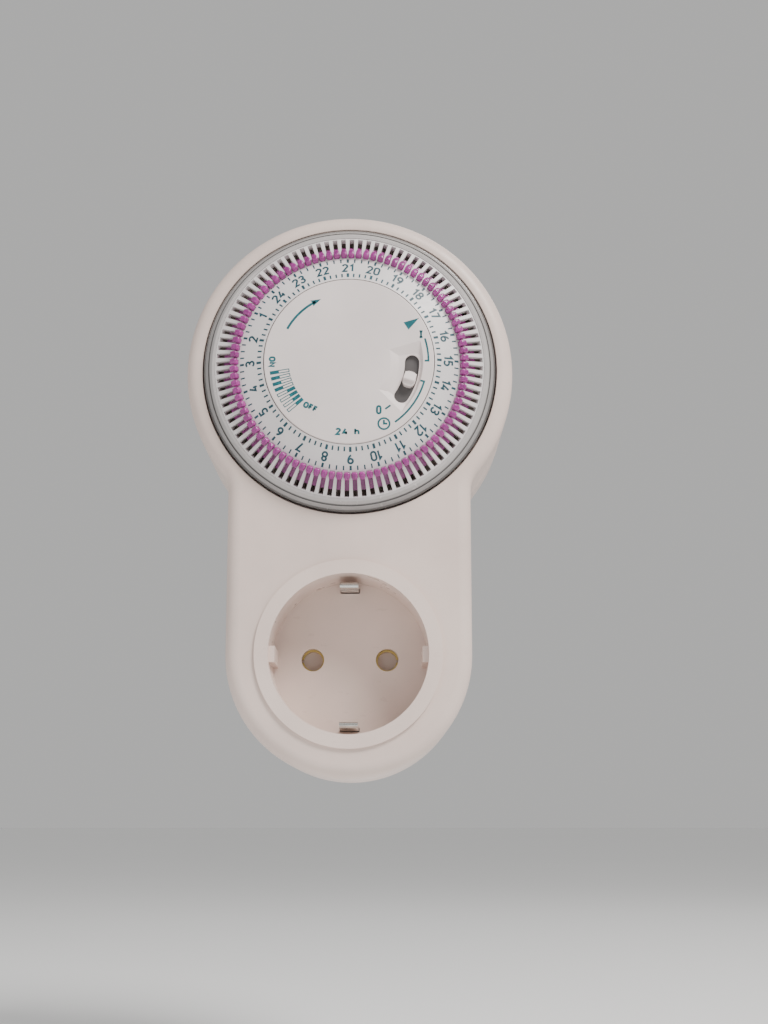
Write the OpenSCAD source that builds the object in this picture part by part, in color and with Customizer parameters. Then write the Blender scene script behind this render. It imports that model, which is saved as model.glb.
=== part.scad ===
// Plug-in 24 hour segment timer: a keyhole-shaped casing with a mains plug on its back and a
// socket in its front, and a geared programme dial with captive trippers in its round head.
//
// Every part is drawn in a face frame: X to the right, Y up, Z out of the dial towards the user,
// with the origin between the roots of the two plug pins. in_row_frame() then stands it upright,
// so that the dial faces -Y, the pins point along +Y and the dial is above the plug.

/* [Casing] */
// Radius of the round head around the dial
head_r = 41.5; // [40.5:0.5:45]
// Width of the lower body around the socket
body_w = 61; // [60:1:68]
// Height of the dial axis above the plug axis
dial_rise = 72; // [70:1:88]
// Depth of the casing from its back to its front face
casing_t = 43; // [43:1:50]
// Wall thickness of both shells
wall = 2.2; // [1.6:0.1:2.6]
// Rounding of the front and back edges
edge_r = 3.6; // [2.5:0.1:4]
// Radius of the inside corner where the head meets the body
neck_r = 8; // [4:0.5:14]
// Height of the joint line between the shells above the back
seam_h = 18; // [16:0.5:20]

/* [Dial] */
// Radius of the fixed centre disc
face_r = 21.2; // [20:0.1:23]
// How far the centre disc stands proud of the casing
face_proud = 8; // [7.5:0.5:10]
// Slope of the conical programme ring
cone_angle = 22; // [18:1:25]
// Width of the casing left around the dial
casing_rim = 4.6; // [4.6:0.1:5.6]
// Width of the grip ring around the programme ring
grip_w = 3; // [2.8:0.1:3.4]
// Thickness of the programme ring, across its slope
ring_t = 1.62; // [1.2:0.1:2]
// Number of trippers, one for each quarter of an hour
segments = 96; // [48:48:96]
// Number of trippers that slide one by one
loose_trippers = 16; // [4:4:24]
// Hour at which the block of loose trippers starts
loose_from_hour = 5; // [0:1:18]
// Hour that stands at the pointer
hour_shown = 17; // [0:1:23]
// Width of the band of slots
slot_band = 6.18; // [6:0.02:6.3]
// Width of a slot
slot_w = 1.2; // [0.95:0.05:1.3]
// Travel of a tripper from off to on
tripper_travel = 4.2; // [3:0.1:4.2]

/* [Override switch] */
// Radius of the arc that the override knob moves on
knob_track_r = 15.7; // [14.5:0.1:16.5]
// Width of the knob's slot
knob_slot_w = 3.6; // [3:0.1:4]
// Turn of the knob to each side of its middle place
knob_swing = 16; // [10:1:18]

/* [Plug and socket] */
// Radius of the plug pins
pin_r = 2.4; // [2:0.1:2.4]
// Length of the plug pins
pin_len = 19; // [17:0.5:19]
// Distance between the pins
pin_pitch = 19; // [18:0.5:20]
// Radius of the plug body
plug_r = 18.6; // [18:0.1:19]
// Length of the plug body behind the casing
plug_len = 18; // [17.5:0.5:20]
// Radius of the socket recess
recess_r = 19.75; // [19.5:0.05:20.5]
// Depth of the socket recess
recess_depth = 17.5; // [17:0.5:18]

/* [Gear train] */
// Module of every gear
gear_module = 0.5; // [0.48:0.01:0.52]
// Teeth of the dial gear
dial_teeth = 72; // [66:1:74]
// Teeth of the reduction wheel
wheel_teeth = 48; // [44:1:48]
// Teeth of both pinions
pinion_teeth = 12; // [12:1:14]
// Radius of the motor can
motor_r = 17; // [14:0.5:17]

/* [Fits] */
// Radial clearance of a running fit
running = 0.06; // [0.04:0.01:0.1]
// Gap between pieces that move past each other
gap = 0.3; // [0.2:0.05:0.4]
// Gap between fixed pieces that only locate each other
seat = 0.03; // [0.02:0.01:0.1]

/* [Hidden] */
$fn = 96;

back_z = plug_len;
front_z = back_z + casing_t;
seam_z = back_z + seam_h;
face_z = front_z + face_proud;
dial_at = [0, dial_rise];

// Time and angles, in degrees anticlockwise from 3 o'clock as the user sees the face.
pointer_angle = 31;
hour_pitch = 15;
segment_pitch = 360 / segments;
knob_angle = -17.1;

// Programme ring.
grip_r = head_r - casing_rim;
ring_r = grip_r - grip_w;
slot_from_r = ring_r - slot_band;
face_t = 1.6;
ring_bore_r = face_r + 0.2;
ring_top_z = face_z - 0.15;
ring_wall = 1.6;
ring_drop = tan(cone_angle);
ring_t_up = ring_t / cos(cone_angle);
web_top_z = face_z - 4.6;
web_t = 1.5;
hub_r = 9;
slot_len = (ring_r - 0.3 - slot_from_r) / cos(cone_angle);

// Well of the casing that the dial sits in.
well_r = grip_r + 0.4;
well_wall = 1.4;
well_floor_z = front_z - 8;
well_floor_t = 2;

// Tripper, in its own frame: X along the slope, Z out of the ring, origin at the slot's start.
head_len = 1.85;
head_w = 1.55;
head_h = 1.6;
neck_from = 0.1;
neck_w = slot_w - 0.14;
foot_w = slot_w + 0.3;
foot_t = 0.7;
foot_from = -0.35;
foot_to = slot_len - 1.4;
lug_len = 0.9;
lug_h = 1.3;

// Centre column and the plate behind the well that carries the works.
column_r = 6;
shaft_r = 3.2;
plate_t = 2;
plate_top_z = well_floor_z - 10;
plate_z = plate_top_z - plate_t;
plate_r = head_r - wall - 0.7;
clip_t = 0.8;
clip_z = web_top_z + 0.2;
arm_z = clip_z + clip_t + gap;
arm_t = face_z - face_t - gap - arm_z;
shaft_bottom_z = plate_z - 8;
arm_w = 2.6;
cam_r = 5;
knob_w = knob_slot_w - 0.4;
knob_len = 3.8;

// Gear train: dial gear, reduction wheel and its pinion, motor pinion.
pressure_angle = 20;
addendum = 0.85;
dedendum = 1.15;
backlash = 0.1;
dial_gear_z = well_floor_z + 3;
dial_gear_t = 3;
wheel_z = plate_top_z + 1;
wheel_t = 3;
axle_r = 1;
reach_dial_wheel = gear_module * (dial_teeth + pinion_teeth) / 2;
reach_wheel_motor = gear_module * (wheel_teeth + pinion_teeth) / 2;
motor_drop = 28;
wheel_along = (pow(reach_dial_wheel, 2) - pow(reach_wheel_motor, 2) + pow(motor_drop, 2))
    / (2 * motor_drop);
wheel_aside = sqrt(pow(reach_dial_wheel, 2) - pow(wheel_along, 2));
wheel_at = dial_at + [-wheel_aside, -wheel_along];
motor_at = dial_at + [0, -motor_drop];
wheel_direction = atan2(-wheel_along, -wheel_aside);
motor_direction = atan2(motor_at.y - wheel_at.y, motor_at.x - wheel_at.x);
pinion_tip_r = gear_module * (pinion_teeth / 2 + addendum);
motor_top_z = plate_z;
motor_t = 15;
motor_wall = 1;

// Feeler and microswitch, placed along the pointer's direction from the dial axis.
feeler_r = slot_from_r + (foot_to + tripper_travel - lug_len / 2) * cos(cone_angle)
    - (ring_t + foot_t + lug_h) * sin(cone_angle);
feeler_pivot = [feeler_r - 2.8, -15];
feeler_z = plate_top_z + 2;
feeler_t = 2;
feeler_tip_z = ring_top_z - ring_drop * (slot_from_r - ring_bore_r)
    - (foot_to + tripper_travel) * sin(cone_angle)
    - (ring_t + 0.06 + foot_t + lug_h) * cos(cone_angle) - gap;
switch_to = feeler_r - 7.4;
switch_from = switch_to - 12;
switch_w = 14;
switch_h = 6.5;
button_r = 1;
button_tip = switch_to + 1.2;
button_in = switch_to - 2.4;

// Socket, plug and their metal parts.
cup_r = recess_r + 1.95;
cup_rim_r = cup_r + 1.5;
rim_proud = 0.8;
cup_floor_t = 2.5;
recess_floor_z = front_z - recess_depth;
hole_r = pin_r + 0.5;
sleeve_bore_r = pin_r + 0.02;
sleeve_r = sleeve_bore_r + 0.85;
sleeve_top_z = recess_floor_z - cup_floor_t - 0.5;
sleeve_floor = 0.8;
sleeve_from_z = recess_floor_z - pin_len - 0.3 - sleeve_floor;
shank_r = pin_r + 0.4;
flange_t = 1.3;
shank_top_z = back_z + wall + seat + flange_t + 0.07;
tip_len = 1.2;
strap_w = 4.6;
strap_t = 0.8;
strap_y = plug_r - 0.5 - strap_t;
strap_bridge_z = shank_top_z + 0.3;
bar_t = 0.8;

// Casing screws, in the head and beside the socket.
screw_r = 1.45;
screw_head_r = 2.8;
screw_head_h = 2;
screw_sink = 3.2;
boss_r = 4;
post_r = 3.5;
head_screw = (head_r - 7.5) * [cos(54), sin(54)];
body_screw = [body_w / 2 - 5.5, 28];
screw_places = [
    dial_at + [-head_screw.x, head_screw.y], dial_at + head_screw,
    [-body_screw.x, body_screw.y], body_screw
];
screw_len = seam_h + 6;

// Plate screws, around the plate's edge.
plate_screw_r = plate_r - 5.2;
plate_screw_angles = [-20, 85, 172];
plate_post_r = 2.8;

loose_first = loose_from_hour * segments / 24;
loose_names = [for (i = [1:loose_trippers]) str("tripper_", i < 10 ? "0" : "", i)];

// ---------------------------------------------------------------- frames and shared shapes

module in_row_frame() {
    rotate([90, 0, 0]) children();
}

module at_dial(z = 0) {
    translate([dial_at.x, dial_at.y, z]) children();
}

// Frame of the switch parts: X outwards along the pointer's direction.
module at_pointer(z = 0) {
    at_dial(z) rotate([0, 0, pointer_angle]) children();
}

module tube(r_out, r_in, h) {
    difference() {
        cylinder(r = r_out, h = h);
        translate([0, 0, -1]) cylinder(r = r_in, h = h + 2);
    }
}

module sector(r_in, r_out, from, to, h) {
    rotate([0, 0, from]) rotate_extrude(angle = to - from)
        translate([r_in, 0]) square([r_out - r_in, h]);
}

// Centre of the inside corner between head and body, on the right-hand side.
corner_at = [
    body_w / 2 + neck_r,
    dial_rise - sqrt(pow(head_r + neck_r, 2) - pow(body_w / 2 + neck_r, 2))
];

// Direction from the dial axis to that centre, where the head's arc meets the corner's arc.
corner_turn = atan2(corner_at.y - dial_rise, corner_at.x);
// Step that keeps two rounded walls from running into each other at no angle at all.
blend_step = 0.02;

// Wedge seen from the corner's centre: everything that the corner's rounding belongs to.
module corner_wedge() {
    reach = neck_r + edge_r + 10;
    to_head = (dial_at - corner_at) / (head_r + neck_r);
    polygon([corner_at, corner_at + reach * to_head, corner_at + [-reach, 0]]);
}

// Keyhole outline of the casing, moved in by inset.
module outline(inset) {
    translate(dial_at) circle(r = head_r - inset);
    circle(r = body_w / 2 - inset);
    translate([-body_w / 2 + inset, 0]) square([body_w - 2 * inset, dial_rise]);
    for (side = [0, 1]) mirror([side, 0]) difference() {
        corner_wedge();
        translate(corner_at) circle(r = neck_r + inset - blend_step);
    }
}

// Half section of a block of height h with its top edge rounded by round_r.
module rounded_section(half_w, h, round_r) {
    square([half_w - round_r, h]);
    square([half_w, h - round_r]);
    translate([half_w - round_r, h - round_r]) circle(r = round_r);
}

// Keyhole block with a flat bottom at z = 0 and its top edge rounded.
module casing_block(inset, h, round_r) {
    inner_r = neck_r + inset - blend_step;
    corner_h = h + blend_step;
    translate(dial_at) rotate_extrude() rounded_section(head_r - inset, h, round_r);
    rotate_extrude() rounded_section(body_w / 2 - inset, h, round_r);
    for (side = [0, 1]) mirror([side, 0, 0]) {
        translate([0, dial_rise, 0]) rotate([90, 0, 0]) linear_extrude(dial_rise)
            rounded_section(body_w / 2 - inset, h, round_r);
        // The same section turned inside out and swept round the corner.
        translate(corner_at) rotate([0, 0, 180 + corner_turn]) rotate_extrude(angle = -corner_turn) {
            translate([inner_r, 0]) square([2 * round_r + 1, corner_h - round_r]);
            translate([inner_r + round_r, 0]) square([round_r + 1, corner_h]);
            translate([inner_r + round_r, corner_h - round_r]) circle(r = round_r);
        }
    }
}

// Involute gear outline with stub teeth; a tooth stands on the +X axis.
function involute_angle(base_r, r) = r <= base_r ? 0
    : sqrt(pow(r / base_r, 2) - 1) * 180 / PI - acos(base_r / r);

module gear_outline(teeth) {
    pitch_r = teeth * gear_module / 2;
    base_r = pitch_r * cos(pressure_angle);
    tip_r = pitch_r + addendum * gear_module;
    root_r = pitch_r - dedendum * gear_module;
    foot_r = max(base_r, root_r + 0.05);
    half = 90 / teeth - backlash / 4 / pitch_r * 180 / PI + involute_angle(base_r, pitch_r);
    flank = [for (r = [foot_r, pitch_r, tip_r]) [r, half - involute_angle(base_r, r)]];
    tooth = concat(
        [[root_r, -flank[0].y]], [for (p = flank) [p.x, -p.y]],
        [for (i = [2:-1:0]) flank[i]], [[root_r, flank[0].y]]
    );
    polygon([
        for (i = [0:teeth - 1]) for (p = tooth)
            p.x * [cos(p.y + i * 360 / teeth), sin(p.y + i * 360 / teeth)]
    ]);
}

// Turn of a gear that puts a gap of it opposite a tooth of its mate.
function mesh_turn(direction, mate_teeth, mate_turn, teeth) =
    direction + 180 - 360 / teeth * (0.5 - (direction - mate_turn) * mate_teeth / 360);

wheel_pinion_turn = mesh_turn(wheel_direction, dial_teeth, 0, pinion_teeth);
motor_pinion_turn = mesh_turn(motor_direction, wheel_teeth, 0, pinion_teeth);

// ---------------------------------------------------------------- casing

module front_shell() {
    lip = wall / 2;
    color("#ece8e2") difference() {
        union() {
            difference() {
                translate([0, 0, seam_z]) casing_block(0, front_z - seam_z, edge_r);
                translate([0, 0, seam_z - 1])
                    casing_block(wall, front_z - seam_z - wall + 1, edge_r - 1);
                translate([0, 0, seam_z - 1]) linear_extrude(1 + 1.2) outline(lip);
            }
            // Well for the dial, and the posts for the screws.
            at_dial(well_floor_z - well_floor_t)
                cylinder(r = well_r + well_wall, h = front_z - 1 - well_floor_z + well_floor_t);
            for (p = screw_places)
                translate([p.x, p.y, seam_z]) cylinder(r = post_r, h = front_z - 1.5 - seam_z);
            for (a = plate_screw_angles) at_dial(plate_top_z) rotate([0, 0, a])
                translate([plate_screw_r, 0, 0])
                    cylinder(r = plate_post_r, h = well_floor_z - plate_top_z - 1);
        }
        at_dial(well_floor_z) cylinder(r = well_r, h = casing_t);
        at_dial(well_floor_z - well_floor_t - 1) cylinder(r = column_r + 0.5, h = well_floor_t + 2);
        translate([wheel_at.x, wheel_at.y, well_floor_z - well_floor_t - 1])
            cylinder(r = pinion_tip_r + 0.9, h = well_floor_t + 2);
        at_pointer(well_floor_z - well_floor_t - 1) translate([feeler_r - 3, -2.5, 0])
            cube([5, 5, well_floor_t + 2]);
        translate([0, 0, recess_floor_z]) cylinder(r = cup_r + 0.1, h = casing_t);
        for (p = screw_places)
            translate([p.x, p.y, seam_z - 1]) cylinder(r = screw_r + 0.05, h = screw_len - seam_h + 7);
        for (a = plate_screw_angles) at_dial(plate_top_z - 1) rotate([0, 0, a])
            translate([plate_screw_r, 0, 0]) cylinder(r = 1.05, h = 7);
    }
}

module rear_shell() {
    lip = wall / 2;
    color("#e6e2dc") difference() {
        union() {
            difference() {
                translate([0, 0, seam_z]) mirror([0, 0, 1]) casing_block(0, seam_h, edge_r);
                translate([0, 0, seam_z + 1]) mirror([0, 0, 1])
                    casing_block(wall, seam_h - wall + 1, edge_r - 1);
            }
            translate([0, 0, seam_z - 1]) linear_extrude(2) difference() {
                outline(lip + 0.1);
                outline(wall + 0.1);
                for (p = screw_places) translate(p) circle(r = post_r + 0.2);
            }
            for (p = screw_places)
                translate([p.x, p.y, back_z + 1]) cylinder(r = boss_r, h = seam_h - 1);
        }
        translate([0, 0, back_z - 1]) cylinder(r = plug_r + 0.1, h = wall + 2);
        for (p = screw_places) translate([p.x, p.y, back_z - 1]) {
            cylinder(r = screw_head_r + 0.2, h = screw_sink + 1);
            cylinder(r = screw_r + 0.25, h = seam_h + 2);
        }
    }
}

module screw(r, len, head_r, head_h) {
    difference() {
        union() {
            cylinder(r = head_r, h = head_h);
            cylinder(r = r, h = len);
            translate([0, 0, len]) cylinder(r1 = r, r2 = r * 0.4, h = r);
        }
        for (turn = [0, 90]) rotate([0, 0, turn])
            translate([-head_r * 0.62, -head_r * 0.13, -1])
                cube([head_r * 1.24, head_r * 0.26, 1 + head_h * 0.55]);
    }
}

module casing_screws() {
    color("#b9bcc0") for (p = screw_places)
        translate([p.x, p.y, back_z + screw_sink - screw_head_h])
            screw(screw_r, screw_len, screw_head_r, screw_head_h);
}

// ---------------------------------------------------------------- socket and plug

module socket_cup() {
    rib_w = 4;
    rib_d = 1.5;
    color("#efebe6") difference() {
        union() {
            translate([0, 0, recess_floor_z - cup_floor_t])
                cylinder(r = cup_r, h = front_z - recess_floor_z + cup_floor_t);
            translate([0, 0, front_z]) cylinder(r = cup_rim_r, h = rim_proud);
        }
        difference() {
            translate([0, 0, recess_floor_z]) cylinder(r = recess_r, h = recess_depth + rim_proud + 1);
            for (side = [-1, 1]) translate([side * recess_r - rib_d, -rib_w / 2, recess_floor_z - 1])
                cube([2 * rib_d, rib_w, recess_depth - 0.5]);
        }
        for (side = [-1, 1]) {
            translate([side * pin_pitch / 2, 0, recess_floor_z - cup_floor_t - 1])
                cylinder(r = hole_r, h = cup_floor_t + 2);
            translate([-strap_w / 2 - 0.2, side * (strap_y + strap_t / 2) - strap_t / 2 - 0.2,
                recess_floor_z - cup_floor_t - 1])
                cube([strap_w + 0.4, strap_t + 0.4, cup_floor_t + 2]);
        }
    }
}

module plug_body() {
    groove_w = 5;
    groove_d = 1.8;
    flange_r = plug_r + 2;
    color("#e2ded8") difference() {
        union() {
            cylinder(r1 = plug_r - 0.8, r2 = plug_r, h = 0.8);
            translate([0, 0, 0.8]) cylinder(r = plug_r, h = back_z + wall + seat + flange_t - 0.8);
            translate([0, 0, back_z + wall + seat]) cylinder(r = flange_r, h = flange_t);
        }
        for (side = [-1, 1]) {
            translate([side * pin_pitch / 2, 0, -1]) cylinder(r = shank_r + seat, h = back_z + 8);
            // Side grooves that the guide ribs of a wall socket run in.
            translate([side * plug_r - groove_d, -groove_w / 2, -1])
                cube([2 * groove_d, groove_w, back_z - 1.5]);
            // Channel of the earth strap, open to the side up to the casing.
            translate([-strap_w / 2 - 0.15, side * plug_r - (plug_r - strap_y + 0.15), 1.2])
                cube([strap_w + 0.3, (plug_r - strap_y + 0.15) * 2, back_z - 2.2]);
            translate([-strap_w / 2 - 0.15, side * (strap_y + strap_t / 2) - strap_t / 2 - 0.15, 1.2])
                cube([strap_w + 0.3, strap_t + 0.3, back_z + 8]);
        }
        translate([0, 0, back_z - 6]) cylinder(r = pin_pitch / 2 - shank_r - 2.4, h = 12);
    }
}

module plug_pin(side) {
    color("#cfd1d3") translate([side * pin_pitch / 2, 0, 0]) {
        cylinder(r = shank_r, h = shank_top_z);
        translate([0, 0, tip_len - pin_len]) cylinder(r = pin_r, h = pin_len - tip_len);
        translate([0, 0, -pin_len]) cylinder(r1 = pin_r * 0.55, r2 = pin_r, h = tip_len);
    }
}

// Two straight legs that serve the plug's sides and the socket's clips, with a bridge between.
module earth_strap() {
    leg_top_z = front_z - 4;
    color("#c9cbcd") difference() {
        union() {
            for (side = [-1, 1]) {
                translate([-strap_w / 2, side * (strap_y + strap_t / 2) - strap_t / 2, 1.6])
                    cube([strap_w, strap_t, leg_top_z - 1.6]);
                // Rolled lead-in at the clip's mouth.
                translate([-strap_w / 2, side * strap_y, leg_top_z]) rotate([0, 90, 0])
                    cylinder(r = strap_t, h = strap_w);
            }
            translate([-strap_w / 2, -strap_y - strap_t / 2, strap_bridge_z])
                cube([strap_w, 2 * strap_y + strap_t, strap_t]);
        }
        translate([0, 0, strap_bridge_z - 1]) cylinder(r = 1.2, h = strap_t + 2);
    }
}

module contact_sleeve(side) {
    slit = 0.7;
    color("#c9a24a") translate([side * pin_pitch / 2, 0, 0]) {
        difference() {
            translate([0, 0, sleeve_from_z]) cylinder(r = sleeve_r, h = sleeve_top_z - sleeve_from_z);
            translate([0, 0, sleeve_from_z + sleeve_floor]) cylinder(r = sleeve_bore_r, h = casing_t);
            translate([side > 0 ? 0 : -sleeve_r - 1, -slit / 2, sleeve_from_z + 2])
                cube([sleeve_r + 1, slit, casing_t]);
        }
    }
}

// Joins the neutral pin to the neutral sleeve in front of it.
module neutral_bar() {
    color("#c9a24a") translate([-pin_pitch / 2, 0, shank_top_z])
        cylinder(r = shank_r, h = sleeve_from_z - shank_top_z);
}

// Strips that stand on edge beside the motor; the outer one runs higher, over the inner one.
bar_w = 3.4;
in_bar_x = motor_r + 0.9;
out_bar_x = in_bar_x + bar_t + 0.8;
in_bar_z = shank_top_z;
out_bar_z = max(in_bar_z + bar_w + 0.5, sleeve_from_z + 0.5);
terminal_x = switch_to - 7;
terminal_in = dial_at + terminal_x * [cos(pointer_angle), sin(pointer_angle)]
    - 3 * [-sin(pointer_angle), cos(pointer_angle)];
terminal_out = dial_at + terminal_x * [cos(pointer_angle), sin(pointer_angle)]
    + 3 * [-sin(pointer_angle), cos(pointer_angle)];
terminal_reach = 0.4 * sin(pointer_angle) + 0.8 * cos(pointer_angle);

// Strip from the live pin, past the motor, to the switch.
module live_in_bar() {
    end_y = terminal_in.y - terminal_reach - seat;
    foot_x = [min(in_bar_x, terminal_in.x - 0.5), max(in_bar_x + bar_t, terminal_in.x + 0.5)];
    color("#b87f3e") {
        translate([pin_pitch / 2 - 1, -bar_w / 2, in_bar_z])
            cube([in_bar_x - pin_pitch / 2 + 1 + bar_t, bar_w, bar_t]);
        translate([in_bar_x, -bar_w / 2, in_bar_z]) cube([bar_t, end_y + bar_w / 2, bar_w]);
        translate([foot_x[0], end_y - bar_t, in_bar_z])
            cube([foot_x[1] - foot_x[0], bar_t, bar_w]);
    }
}

// Strip from the switch to the live sleeve.
module live_out_bar() {
    start_y = sleeve_r + seat;
    end_y = terminal_out.y + 0.6;
    foot_x = terminal_out.x + 0.8 < out_bar_x + bar_t
        ? [terminal_out.x + 0.8, out_bar_x + bar_t] : [out_bar_x, terminal_out.x - 0.8];
    color("#b87f3e") {
        translate([pin_pitch / 2 - 1, start_y, out_bar_z])
            cube([out_bar_x - pin_pitch / 2 + 1 + bar_t, bar_t, bar_w]);
        translate([out_bar_x, start_y, out_bar_z]) cube([bar_t, end_y - start_y, bar_w]);
        translate([foot_x[0], end_y - bar_t, out_bar_z])
            cube([foot_x[1] - foot_x[0], bar_t, bar_w]);
    }
}

// ---------------------------------------------------------------- mechanism

module mechanism_plate() {
    color("#d9d5c8") difference() {
        at_dial(plate_z) cylinder(r = plate_r, h = plate_t);
        // Flats beside the casing screws in the head.
        for (p = [screw_places[0], screw_places[1]])
            translate([p.x, p.y, plate_z - 1]) cylinder(r = boss_r + 0.6, h = plate_t + 2);
        at_dial(plate_z - 1) cylinder(r = column_r + seat, h = plate_t + 2);
        translate([motor_at.x, motor_at.y, plate_z - 1]) cylinder(r = 4.5, h = plate_t + 2);
        translate([wheel_at.x, wheel_at.y, plate_z - 1]) cylinder(r = axle_r + seat, h = plate_t + 2);
        for (a = plate_screw_angles) at_dial(plate_z - 1) rotate([0, 0, a])
            translate([plate_screw_r, 0, 0]) cylinder(r = 1.35, h = plate_t + 2);
        at_pointer(plate_z - 1) translate([feeler_pivot.x, feeler_pivot.y, 0])
            cylinder(r = axle_r + seat, h = plate_t + 2);
        // Window for the switch terminals.
        at_pointer(plate_z - 1) translate([terminal_x - 1.5, -4.5, 0]) cube([3, 9, plate_t + 2]);
    }
}

module plate_screws() {
    color("#b9bcc0") for (a = plate_screw_angles) at_dial(plate_z - 1.5) rotate([0, 0, a])
        translate([plate_screw_r, 0, 0]) screw(1, 7.5, 2.1, 1.5);
}

// Hollow column: the dial turns around it and the override shaft turns inside it.
module centre_column() {
    notch = 2 * (knob_swing + asin(arm_w / 2 / shaft_r) + 12);
    bottom_z = plate_z - 1.5;
    color("#d9d5c8") difference() {
        union() {
            at_dial(bottom_z) cylinder(r = column_r, h = face_z - face_t - bottom_z);
            at_dial(plate_top_z) cylinder(r = column_r + 1.5, h = 0.8);
        }
        at_dial(bottom_z - 1) cylinder(r = shaft_r + running, h = face_z - bottom_z);
        // Groove for the dial clip.
        at_dial(clip_z - 0.05) tube(column_r + 1, column_r - 0.6, clip_t + 0.1);
        // Window that the override arm swings in.
        at_dial(arm_z - 0.15) sector(0.5, column_r + 1, knob_angle - notch / 2, knob_angle + notch / 2,
            face_z - arm_z);
    }
}

module dial_clip() {
    color("#9a9ea3") difference() {
        at_dial(clip_z) tube(column_r + 2, column_r - 0.55, clip_t);
        at_dial(clip_z - 1) rotate([0, 0, 200]) translate([0, -2, 0]) cube([20, 4, clip_t + 2]);
    }
}

module motor_can() {
    color("#a9adb2") translate([motor_at.x, motor_at.y, motor_top_z - motor_t]) difference() {
        cylinder(r = motor_r, h = motor_t - 1.2);
        translate([0, 0, motor_wall]) cylinder(r = motor_r - motor_wall, h = motor_t);
    }
}

module motor_coil() {
    color("#a4572f") translate([motor_at.x, motor_at.y, motor_top_z - motor_t + motor_wall + 0.5])
        tube(motor_r - motor_wall - 0.6, 8, motor_t - 4.5);
}

module motor_end_plate() {
    color("#b4b8bd") translate([motor_at.x, motor_at.y, motor_top_z - 1.2 + seat / 2])
        tube(motor_r, axle_r + running, 1.2 - seat);
}

module rotor_magnet() {
    color("#3c3f44") translate([motor_at.x, motor_at.y, motor_top_z - motor_t + 3])
        tube(6.5, axle_r + seat, motor_t - 6.5);
}

module motor_pinion() {
    color("#e9e4d6") translate([motor_at.x, motor_at.y, wheel_z]) rotate([0, 0, motor_pinion_turn])
        linear_extrude(wheel_t + 0.5) gear_outline(pinion_teeth);
    color("#c4c7ca") translate([motor_at.x, motor_at.y, motor_top_z - motor_t + 2])
        cylinder(r = axle_r, h = motor_t + wheel_z - motor_top_z + wheel_t);
}

module wheel_axle() {
    color("#c4c7ca") translate([wheel_at.x, wheel_at.y, plate_z])
        cylinder(r = axle_r, h = dial_gear_z + dial_gear_t + 1.5 - plate_z);
}

module reduction_wheel() {
    pinion_top_z = dial_gear_z + dial_gear_t + 0.5;
    color("#efe6c8") translate([wheel_at.x, wheel_at.y, 0]) difference() {
        union() {
            translate([0, 0, wheel_z]) linear_extrude(wheel_t) gear_outline(wheel_teeth);
            translate([0, 0, plate_top_z + 0.3]) cylinder(r = 2.6, h = wheel_z - plate_top_z);
            translate([0, 0, wheel_z + wheel_t - 0.1]) rotate([0, 0, wheel_pinion_turn])
                linear_extrude(pinion_top_z - wheel_z - wheel_t + 0.1) gear_outline(pinion_teeth);
        }
        translate([0, 0, plate_top_z - 1])
            cylinder(r = axle_r + running, h = pinion_top_z - plate_top_z + 2);
    }
}

// ---------------------------------------------------------------- switch

module switch_case() {
    skin = 1.1;
    color("#2f3236") difference() {
        at_pointer(plate_top_z) translate([switch_from, -switch_w / 2, 0])
            cube([switch_to - switch_from, switch_w, switch_h]);
        at_pointer(plate_top_z - 1) translate([switch_from + skin, -switch_w / 2 + skin, 0])
            cube([switch_to - switch_from - 2 * skin, switch_w - 2 * skin, switch_h - skin + 1]);
        at_pointer(feeler_z + feeler_t / 2) translate([switch_to - 3, 0, 0]) rotate([0, 90, 0])
            cylinder(r = button_r + running, h = 6);
    }
}

module switch_blade() {
    blade_x = button_in - 1.2 - 0.4;
    color("#c98b4a") at_pointer(plate_top_z + 0.6) {
        translate([blade_x, -4.8, 0]) cube([0.4, 9.6, 3.6]);
        translate([terminal_x + 0.45, -4.8, 0]) cube([blade_x - terminal_x, 0.8, 3.6]);
    }
}

module switch_terminals() {
    foot_z = in_bar_z + 0.5;
    color("#c9a24a") at_pointer(foot_z) for (v = [-3, 3])
        translate([terminal_x - 0.4, v - 0.8, 0])
            cube([0.8, 1.6, plate_top_z + switch_h - 1.1 - seat - foot_z]);
}

module switch_button() {
    color("#b9382f") at_pointer(feeler_z + feeler_t / 2) translate([button_in, 0, 0])
        rotate([0, 90, 0]) cylinder(r = button_r, h = button_tip - button_in);
}

module feeler_pin() {
    color("#c4c7ca") at_pointer(plate_z) translate([feeler_pivot.x, feeler_pivot.y, 0])
        cylinder(r = axle_r, h = feeler_z + feeler_t + 1 - plate_z);
}

// Two-armed lever: its nose stands through the well floor, its pad meets the switch button.
module feeler_lever() {
    bar_w = 2.2;
    color("#e4dfcf") difference() {
        union() {
            at_pointer(feeler_z) translate([feeler_pivot.x, feeler_pivot.y, 0])
                cylinder(r = 2.3, h = feeler_t);
            at_pointer(feeler_z) linear_extrude(feeler_t) polygon([
                feeler_pivot + [-bar_w / 2, 0], feeler_pivot + [bar_w / 2, 0],
                [feeler_r + bar_w / 2, 0.7], [feeler_r - bar_w / 2, 0.7]
            ]);
            at_pointer(feeler_z) translate([button_tip + 0.15, -1, 0])
                cube([feeler_r - button_tip - 0.5, 1.7, feeler_t]);
            at_pointer(feeler_z) translate([feeler_r - 0.7, -0.7, 0])
                cube([1.4, 1.4, feeler_tip_z - feeler_z]);
        }
        at_pointer(feeler_z - 1) translate([feeler_pivot.x, feeler_pivot.y, 0])
            cylinder(r = axle_r + running, h = feeler_t + 2);
    }
}

// ---------------------------------------------------------------- override switch

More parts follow.
